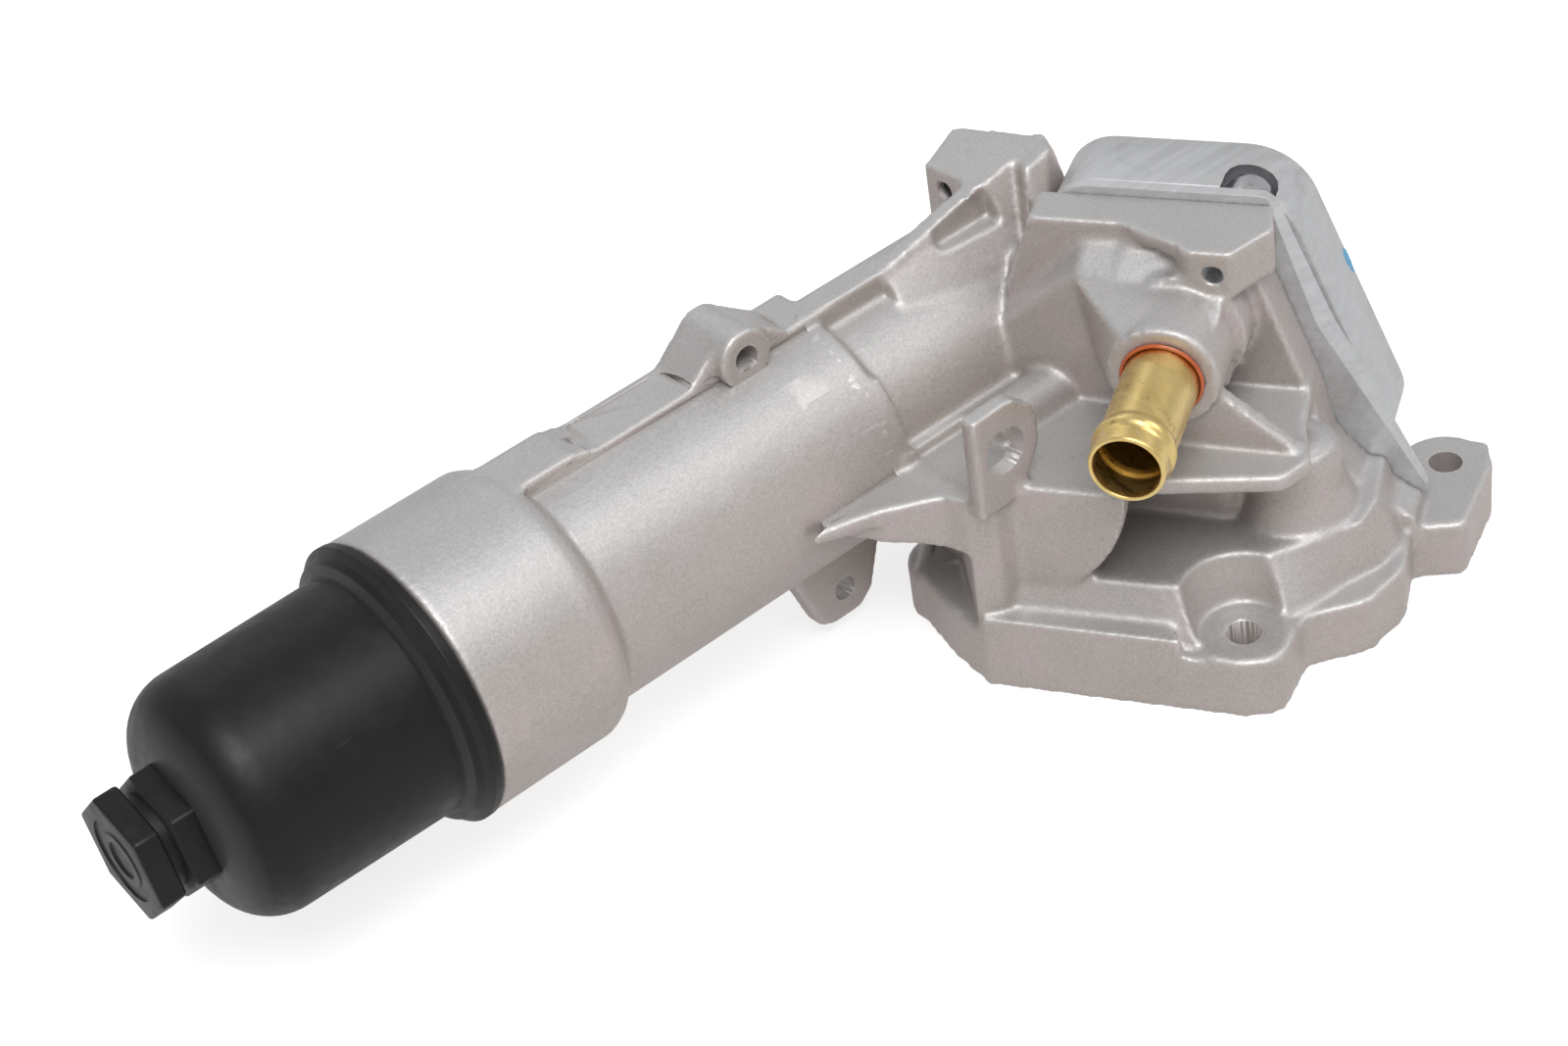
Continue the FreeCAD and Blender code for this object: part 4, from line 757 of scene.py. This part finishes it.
# The screw cap
def cap_profile():
    """Outer and inner line of the cap, as distance from the rim and radius."""
    outer = [(-HEX_ROOT + 0.4, 0), (-HEX_ROOT + 0.4, HEX_NECK), (-CAP_END, HEX_NECK)]
    dome_x, dome_radius = -CAP_END + CAP_DOME, CAP_RADIUS - CAP_DOME
    steps = 14
    for k in range(steps + 1):
        angle = math.radians(90 * k / steps)
        outer.append((dome_x - CAP_DOME * math.cos(angle), dome_radius + CAP_DOME * math.sin(angle)))
    collar = [(-8.6, CAP_RADIUS), (-7.2, 31.2), (-6.2, 33.4), (-4.6, 34.4), (-2.9, CAP_RIM), (0, CAP_RIM)]
    outer += rounded(collar, [2.0, 1.2, 1.2, 1.0, 0.7, 0.4])
    cavity = CAP_RADIUS - CAP_WALL - 1.4
    inner = [
        (0, CAP_MOUTH),
        (5, CAP_MOUTH),
        (5, THREAD_BORE - 0.35),
        (17.2, THREAD_BORE - 0.35),
        (18, THREAD_BORE - 1.1),
        (18, THREAD_BORE - 5.2),
        (-8, cavity),
        (dome_x, cavity),
        (-CAP_END + CAP_DOME / 2, CAP_RADIUS - CAP_WALL - 5),
        (-CAP_END + CAP_WALL + 0.5, dome_radius),
        (-CAP_END + CAP_WALL + 0.5, 0),
    ]
    return outer + inner


def hex_block(start, end, edge):
    """A length of the hexagon with soft edges."""
    corner_radius = HEX_FLATS / 2 / math.cos(math.radians(30))
    corners = []
    for k in range(6):
        angle = math.radians(60 * k + HEX_TURN)
        corners.append(Vector((0, math.cos(angle), math.sin(angle))) * corner_radius * MM)
    block = scratch("hex", prism_mesh("hex", corners, rim_point(start), rim_point(end)))
    modified(block, "BEVEL", width=edge * MM, segments=3, limit_method="ANGLE")
    return released(block)


def spigot_mesh():
    """The hollow spigot inside the cap, which holds the bypass valve."""
    foot, end = -CAP_END + CAP_WALL - 1, -CAP_END + CAP_WALL + 3
    profile = [
        (foot, 0), (foot, 8.4), (-24, 8.4), (-24, 6.5), (-38, 6.5), (-38, 3.6), (-41, 3.6), (-41, 6.5),
        (end, 6.5), (end, 0),
    ]
    return turned_mesh("spigot", profile, rim_point(0), (1, 0, 0), 64)


def end_recess_mesh():
    """A turned recess with a raised ring and a plain centre, for the hexagon's end face."""
    profile = rounded(
        [(-1, 0), (-1, 10.6), (0.55, 10.2), (0.55, 7.2), (0.15, 6.8), (0.15, 4.8), (0.8, 4.4), (0.8, 0)],
        [0, 0, 0.2, 0.2, 0.15, 0.15, 0.2, 0], 3,
    )
    return turned_mesh("recess", profile, rim_point(-HEX_END), (1, 0, 0), 96)


def cap_mesh():
    form = scratch("cap_form", turned_mesh("cap_form", cap_profile(), rim_point(0), (1, 0, 0), 160))
    merge(form, hex_block(-HEX_ROOT, -CAP_END + 1.2, 0.7), "UNION")
    merge(form, hex_block(-HEX_END, -HEX_ROOT - HEX_GROOVE, 0.8), "UNION")
    merge(form, rod_mesh(rim_point(-HEX_END + 1), rim_point(-CAP_END + 0.5), HEX_NECK, 96), "UNION")
    merge(form, spigot_mesh(), "UNION")
    merge(form, end_recess_mesh(), "DIFFERENCE")
    # flow windows through the spigot's wall
    window_x, reach = -49, 15
    for way in (Vector((0, 0, reach)), Vector((0, reach, 0))):
        start, end = rim_point(window_x, *-way.yz), rim_point(window_x, *way.yz)
        merge(form, rod_mesh(start, end, 3, 32), "DIFFERENCE")
    return released(form)


new_piece("cap_shell", cap_mesh(), [PLASTIC], "cap", ["filter_cap"], 30)


# The coolant stub and its sealant
def stub_mesh():
    length = STUB_ROOT - STUB_MOUTH
    points = [
        (0, 7.9), (0, 8.75), (0.5, STUB_RADIUS), (4.6, STUB_RADIUS), (5.4, 9.25), (6.3, 9.75), (7.3, 9.9),
        (8.3, 9.8), (9.3, 9.4), (10.3, STUB_RADIUS), (length - 0.3, STUB_RADIUS), (length, 8.8),
        (length + 12, 8.8), (length + 12, 7.8), (10.4, 7.8), (9.2, 8.2), (8.2, 8.7), (7.3, 8.85),
        (6.3, 8.7), (5.3, 8.2), (4.4, 7.8),
    ]
    radii = [0.3] * 3 + [1] * 7 + [0.1, 0, 0, 0] + [1] * 7
    profile = rounded(points, radii, 3)
    return turned_mesh("stub", profile, flange_point(0, STUB_MOUTH, STUB_Z), flange_way(0, 1), 96)


new_piece("coolant_stub", stub_mesh(), [BRASS], "housing", ["coolant_pipe"], 50)


def sealant_mesh():
    """A bead of sealant round the stub's root, a little uneven as it is squeezed out."""
    middle, thick, wide = 9.62, 0.5, 0.55
    around, across = 120, 10
    bm = bmesh.new()
    rings = []
    for k in range(around):
        angle = 2 * math.pi * k / around
        wave = 0.12 * math.sin(3 * angle + 0.7) + 0.08 * math.sin(7 * angle + 2)
        wave += 0.05 * math.sin(17 * angle)
        side = flange_way(1, 0) * math.cos(angle) + UP * math.sin(angle)
        ring = []
        for j in range(across):
            turn = 2 * math.pi * j / across
            radius = middle + thick * math.cos(turn) + 0.2 * wave
            depth = STUB_ROOT - 0.62 - (wide + 0.5 * wave) * math.sin(turn)
            ring.append(bm.verts.new(flange_point(0, depth, STUB_Z) + side * radius * MM))
        rings.append(ring)
    for first, second in zip(rings, rings[1:] + rings[:1]):
        bridge(bm, first, second)
    return faced(bm, "sealant")


new_piece("sealant_bead", sealant_mesh(), [SEALANT], "housing", ["pipe_seal"], 60)


# The cooler: outlines in its own plane, as u and height
def arced(points, radii, steps=10):
    """An outline with round corners of true arcs."""
    result = []
    count = len(points)
    for i, (point, radius) in enumerate(zip(points, radii)):
        p = Vector(point)
        a = (Vector(points[i - 1]) - p).normalized()
        b = (Vector(points[(i + 1) % count]) - p).normalized()
        half = a.angle(b) / 2
        middle = p + (a + b).normalized() * radius / math.sin(half)
        start = p + a * radius / math.tan(half) - middle
        end = p + b * radius / math.tan(half) - middle
        turn = start.angle(end)
        for k in range(steps + 1):
            t = k / steps
            share = (math.sin((1 - t) * turn) * start + math.sin(t * turn) * end) / math.sin(turn)
            result.append(middle + share)
    return result


def layered(outlines):
    """A solid through outlines of equal length at several depths, closed at both ends."""
    bm = bmesh.new()
    rows = [[bm.verts.new(flange_point(p.x, depth, p.y)) for p in outline] for depth, outline in outlines]
    bm.faces.new(rows[0])
    bm.faces.new(rows[-1])
    for first, second in zip(rows, rows[1:]):
        bridge(bm, first, second)
    return faced(bm, "layers")


def inset(outline, amount):
    """The outline drawn in by an amount, for shallow edge rounding."""
    count = len(outline)
    area = sum(outline[i - 1].cross(outline[i]) for i in range(count))
    way = 1 if area > 0 else -1
    result = []
    for i, p in enumerate(outline):
        a = (p - outline[i - 1]).normalized()
        b = (outline[(i + 1) % count] - p).normalized()
        normal = Vector((-(a.y + b.y), a.x + b.x)).normalized() * way
        result.append(p + normal * amount)
    return result


COOLER_LEFT, COOLER_TOP = -37.5, 102.2
STACK_LOW, STACK_RIGHT, STACK_TOP_RIGHT = 25.0, 49.2, 20.0
STACK = arced(
    [
        (COOLER_LEFT, STACK_LOW), (STACK_RIGHT, STACK_LOW),
        (STACK_TOP_RIGHT, COOLER_TOP), (COOLER_LEFT, COOLER_TOP),
    ],
    [9.5, 9.5, 18, 13],
)
PLATE = arced(
    [
        (COOLER_LEFT, 18.5), (53.5, 18.5), (54.5, 20.5), (31.6, 67.8),
        (18.3, COOLER_TOP), (COOLER_LEFT, COOLER_TOP),
    ],
    [1.5, 1, 1.5, 30, 5, 12],
)
# Height over which a screw is an upper one, and radius of the recesses over the ports
UPPER_SCREWS, PORT_RECESS = 50, 6.9


def cut_through(item, meshes):
    for mesh in meshes:
        merge(item, mesh, "DIFFERENCE")
    return released(item)


def stack_mesh():
    """The brazed stack, with soft edges and recesses over ports and screw heads."""
    front, back = PAD_FACE + PLATE_THICK, PAD_FACE + PLATE_THICK + CORE_THICK
    steps = [(front, 0.5), (front + 0.4, 0.1), (front + 1.0, 0)]
    steps += [(back - 1.6, 0), (back - 0.7, 0.3), (back - 0.2, 0.9), (back, 1.7)]
    item = scratch("stack", layered([(depth, inset(STACK, amount)) for depth, amount in steps]))
    cuts = [cross_rod(u, z, front - 1, front + 7, PORT_RECESS) for u, z in PAD_PORTS]
    for u, z in SCREWS:
        if (u, z) == OPEN_SCREW:
            dome = [(-1, 0), (-1, 7.1), (5.5, 7.1), (8.2, 6.6), (10.0, 5.4), (11.4, 3.0), (12.0, 0)]
            cuts.append(turned_mesh("dome", dome, flange_point(u, front, z + 2.4), flange_way(0, 1), 64))
        else:
            cuts.append(cross_rod(u, z, front - 1, front + 5, 3.9 if z > UPPER_SCREWS else 5.8))
    return cut_through(item, cuts)


def plate_mesh():
    """The base plate; its slanting side leans in towards the pad over the length of the slope."""
    front, back = PAD_FACE, PAD_FACE + PLATE_THICK
    lean, lean_start, lean_length, foot = 3.4, 18, 4, 22
    lean_u, lean_z = 0.94, 0.35
    leaning = []
    for p in PLATE:
        reach = min(max((p.x - lean_start) / lean_length, 0.0), 1.0) * lean
        if p.y < foot:
            reach = 0.0
        leaning.append(Vector((p.x - reach * lean_u, p.y - reach * lean_z)))
    item = scratch("plate", layered([
        (front, inset(leaning, 0.25)), (front + 0.15, leaning), (back - 0.9, PLATE), (back - 0.25, PLATE),
        (back, inset(PLATE, 0.25)),
    ]))
    cuts = [cross_rod(u, z, front - 1, back + 1, PORT_RECESS) for u, z in PAD_PORTS]
    cuts += [cross_rod(u, z, front - 1, back + 1, 2.9) for u, z in SCREWS]
    return cut_through(item, cuts)


new_piece("cooler_stack", stack_mesh(), [ROLLED], "housing", ["cooler_core"], 28)
new_piece("cooler_base", plate_mesh(), [PLATE_FINISH], "housing", ["cooler_plate"], 20)


def screw_head(u, z):
    """Profile of a head: a tall dome in the open recess, a small one above, round with a socket below."""
    if (u, z) == OPEN_SCREW:
        return [(PLATE_THICK, 6.6), (8.4, 6.6), (10.6, 6.1), (12.3, 4.9), (13.5, 2.9), (14.0, 0)]
    if z > UPPER_SCREWS:
        return [(PLATE_THICK, 3.6), (6, 3.6), (7, 2.6), (7, 0)]
    return rounded(
        [
            (PLATE_THICK, 5.3), (4.1, 5.3), (4.7, 4.75), (5.9, 4.0),
            (6.7, 3.0), (7, 2.3), (4.6, 2.3), (4.6, 0),
        ],
        [0.1, 0.25, 0.6, 1.2, 1.0, 0.2, 0, 0], 4,
    )


def screw_mesh():
    shank = [(-9, 0), (-9, 2.0), (-8.5, 2.5), (PLATE_THICK, 2.5)]
    meshes = []
    for u, z in SCREWS:
        profile = shank + screw_head(u, z)
        meshes.append(turned_mesh("screw", profile, flange_point(u, PAD_FACE, z), flange_way(0, 1), 64))
    return joined("screws", meshes)


new_piece("cooler_screw_set", screw_mesh(), [STEEL], "housing", ["cooler_screws"], 35)


# Threads in the two blind holes
def thread_mesh(name, mouth, way):
    """A ridge wound round the wall of a hole, from its mouth inward."""
    bm = bmesh.new()
    way = Vector(way)
    flat = UP.cross(way)
    steps = 36
    turns = TAPPED_DEPTH / TAPPED_PITCH - 1
    section = [(-0.36, 0.04), (-0.06, -0.42), (0.06, -0.42), (0.36, 0.04)]
    rows = []
    for k in range(int(turns * steps) + 1):
        angle = 2 * math.pi * k / steps
        side = flat * math.cos(angle) + UP * math.sin(angle)
        along = 0.4 + TAPPED_PITCH * k / steps
        rows.append([
            bm.verts.new(mouth + way * (along + a * TAPPED_PITCH) * MM + side * (TAPPED_RADIUS + r) * MM)
            for a, r in section
        ])
    for first, second in zip(rows, rows[1:]):
        bridge(bm, first, second)
    bm.faces.new(rows[0])
    bm.faces.new(rows[-1])
    return faced(bm, name)


for name, mouth, way in (
    ("bracket_threads", flange_point(BRACKET_HOLE[0], 3, BRACKET_HOLE[1]), flange_way(0, 1)),
    ("block_threads", rim_point(180.3, *BLOCK_HOLE), (1, 0, 0)),
):
    new_piece(name, thread_mesh(name, mouth, way), [THREAD], "housing")


# The paint dot on the cooler's slanting side
def dot_mesh():
    """A flat oval drop of paint."""
    # place on the slanting line, depth, stretch along and across the line
    place, depth, long_side, short_side, points = 33, 46.6, 1.5, 0.62, 48
    top, low = Vector((STACK_TOP_RIGHT, COOLER_TOP)), Vector((STACK_RIGHT, STACK_LOW))
    line = (low - top).normalized()
    spot = top + line * place
    centre = flange_point(spot.x, depth, spot.y)
    along = flange_way(line.x, 0, line.y) * long_side
    across = flange_way(0, 1) * short_side
    out = flange_way(-line.y, 0, line.x)
    bm = bmesh.new()
    rings = [[bm.verts.new(centre + out * 0.09 * MM)]]
    for radius, lift in ((1.1, 0.1), (2.1, 0.08), (2.45, -0.03)):
        ring = []
        for k in range(points):
            angle = 2 * math.pi * k / points
            reach = radius * (1 + 0.05 * math.sin(3 * angle + 1) + 0.03 * math.sin(7 * angle))
            oval = along * math.cos(angle) + across * math.sin(angle)
            ring.append(bm.verts.new(centre + oval * reach * MM + out * lift * MM))
        rings.append(ring)
    for first, second in zip(rings, rings[1:]):
        bridge(bm, first, second)
    return faced(bm, "dot")


new_piece("paint_dot", dot_mesh(), [PAINT], "housing")

# Finishes of the solids themselves
SOLID_FINISHES = {
    "cap_o_ring": RUBBER, "bypass_plunger": VALVE, "bypass_spring": SPRING, "bypass_clip": SPRING,
    "element_outer_disc": ELEMENT, "element_inner_disc": ELEMENT, "element_seal": RUBBER,
    "element_media": PAPER, "element_core": ELEMENT, "standpipe": PLASTIC, "check_seat": SPRING,
    "check_disc": VALVE, "check_stop": SPRING, "check_spring": SPRING, "filter_housing": CAST,
    "filter_cap": PLASTIC, "coolant_pipe": BRASS, "pipe_seal": SEALANT, "cooler_plate": ROLLED,
    "cooler_core": ROLLED, "cooler_screws": STEEL,
}
for name, node in NODES.items():
    finish = SOLID_FINISHES.get(name, RUBBER)
    if not node.material_slots:
        node.data.materials.append(finish)
    for slot in node.material_slots:
        slot.material = finish


# Floor, surroundings, lights and camera, in metres
def floor_mesh():
    reach, steps, drop_below = 4, 24, 0.0002
    bm = bmesh.new()
    verts = {}
    for i in range(steps + 1):
        for j in range(steps + 1):
            x = -reach + 2 * reach * i / steps
            y = -reach + 2 * reach * j / steps
            verts[i, j] = bm.verts.new((x, y, cad_low.z - drop_below))
    for i in range(steps):
        for j in range(steps):
            bm.faces.new((verts[i, j], verts[i + 1, j], verts[i + 1, j + 1], verts[i, j + 1]))
    return mesh_of(bm, "floor")


def larger(tree, first, second):
    """A node that gives the larger of a socket and another socket or number."""
    node = tree.nodes.new("ShaderNodeMath")
    node.operation = "MAXIMUM"
    tree.links.new(first, node.inputs[0])
    if isinstance(second, float):
        node.inputs[1].default_value = second
    else:
        tree.links.new(second, node.inputs[1])
    return node.outputs[0]


def floor_finish():
    """Bright to the camera, also through clear parts; for all other rays half of it is a dimmer floor."""
    paper = bpy.data.materials.new("pale_floor")
    paper.use_nodes = True
    tree = paper.node_tree
    tree.nodes.clear()
    result = tree.nodes.new("ShaderNodeOutputMaterial")
    matt = tree.nodes.new("ShaderNodeBsdfDiffuse")
    matt.inputs[0].default_value = (0.5, 0.5, 0.5, 1)
    glow = tree.nodes.new("ShaderNodeEmission")
    glow.inputs[1].default_value = 0.68
    bright = tree.nodes.new("ShaderNodeAddShader")
    tree.links.new(matt.outputs[0], bright.inputs[0])
    tree.links.new(glow.outputs[0], bright.inputs[1])
    dim = tree.nodes.new("ShaderNodeBsdfDiffuse")
    dim.inputs[0].default_value = (0.3, 0.3, 0.3, 1)
    path = tree.nodes.new("ShaderNodeLightPath")
    seen = larger(tree, path.outputs["Is Camera Ray"], path.outputs["Is Transmission Ray"])
    pick = tree.nodes.new("ShaderNodeMixShader")
    tree.links.new(larger(tree, seen, 0.5), pick.inputs[0])
    tree.links.new(dim.outputs[0], pick.inputs[1])
    tree.links.new(bright.outputs[0], pick.inputs[2])
    tree.links.new(pick.outputs[0], result.inputs[0])
    return paper


def studio():
    """An even surrounding, at full strength for the camera alone."""
    world = bpy.data.worlds.new("studio")
    world.use_nodes = True
    tree = world.node_tree
    tree.nodes.clear()
    result = tree.nodes.new("ShaderNodeOutputWorld")
    path = tree.nodes.new("ShaderNodeLightPath")
    level = tree.nodes.new("ShaderNodeMapRange")
    level.inputs["To Min"].default_value = 0.68
    level.inputs["To Max"].default_value = 1.0
    sky = tree.nodes.new("ShaderNodeBackground")
    tree.links.new(path.outputs["Is Camera Ray"], level.inputs["Value"])
    tree.links.new(level.outputs[0], sky.inputs["Strength"])
    tree.links.new(sky.outputs[0], result.inputs[0])
    return world


def soft_box(name, place, aim, width, height, power, tint=(1, 1, 1)):
    light = bpy.data.lights.new(name, "AREA")
    light.shape = "RECTANGLE"
    light.size = width
    light.size_y = height
    light.energy = power
    light.color = tint
    item = bpy.data.objects.new(name, light)
    item.location = place
    item.rotation_mode = "QUATERNION"
    item.rotation_quaternion = (Vector(aim) - Vector(place)).to_track_quat("-Z", "Y")
    bpy.context.scene.collection.objects.link(item)


def photo_camera():
    """The camera's lens and place, fitted to the photograph."""
    data = bpy.data.cameras.new("camera")
    data.lens = 67.5
    data.sensor_width = 36
    data.sensor_fit = "HORIZONTAL"
    data.clip_start = 0.01
    data.clip_end = 50
    camera = bpy.data.objects.new("camera", data)
    bpy.context.scene.collection.objects.link(camera)
    camera.matrix_world = Matrix((
        (0.747705, 0.485961, -0.452524, -0.403983),
        (-0.649997, 0.396268, -0.648441, -0.406508),
        (-0.135796, 0.778982, 0.612165, 0.480378),
        (0, 0, 0, 1),
    ))
    return camera


floor = bpy.data.objects.new("floor", floor_mesh())
bpy.context.scene.collection.objects.link(floor)
floor.data.materials.append(floor_finish())

soft_box("key", place=(-0.40, -0.58, 1.32), aim=(0, 0, 0.05), width=0.8, height=0.8, power=16.0)
soft_box(
    "side", place=(0.72, -0.5, 1.0), aim=(-0.05, 0, 0.05), width=0.7, height=0.7, power=3.4,
    tint=(1.0, 0.99, 0.98),
)
soft_box("back", place=(0.3, 1.0, 0.9), aim=(0, 0, 0.05), width=1.0, height=0.6, power=1.0)

scene = bpy.context.scene
scene.world = studio()
scene.camera = photo_camera()
scene.view_settings.view_transform = "Standard"
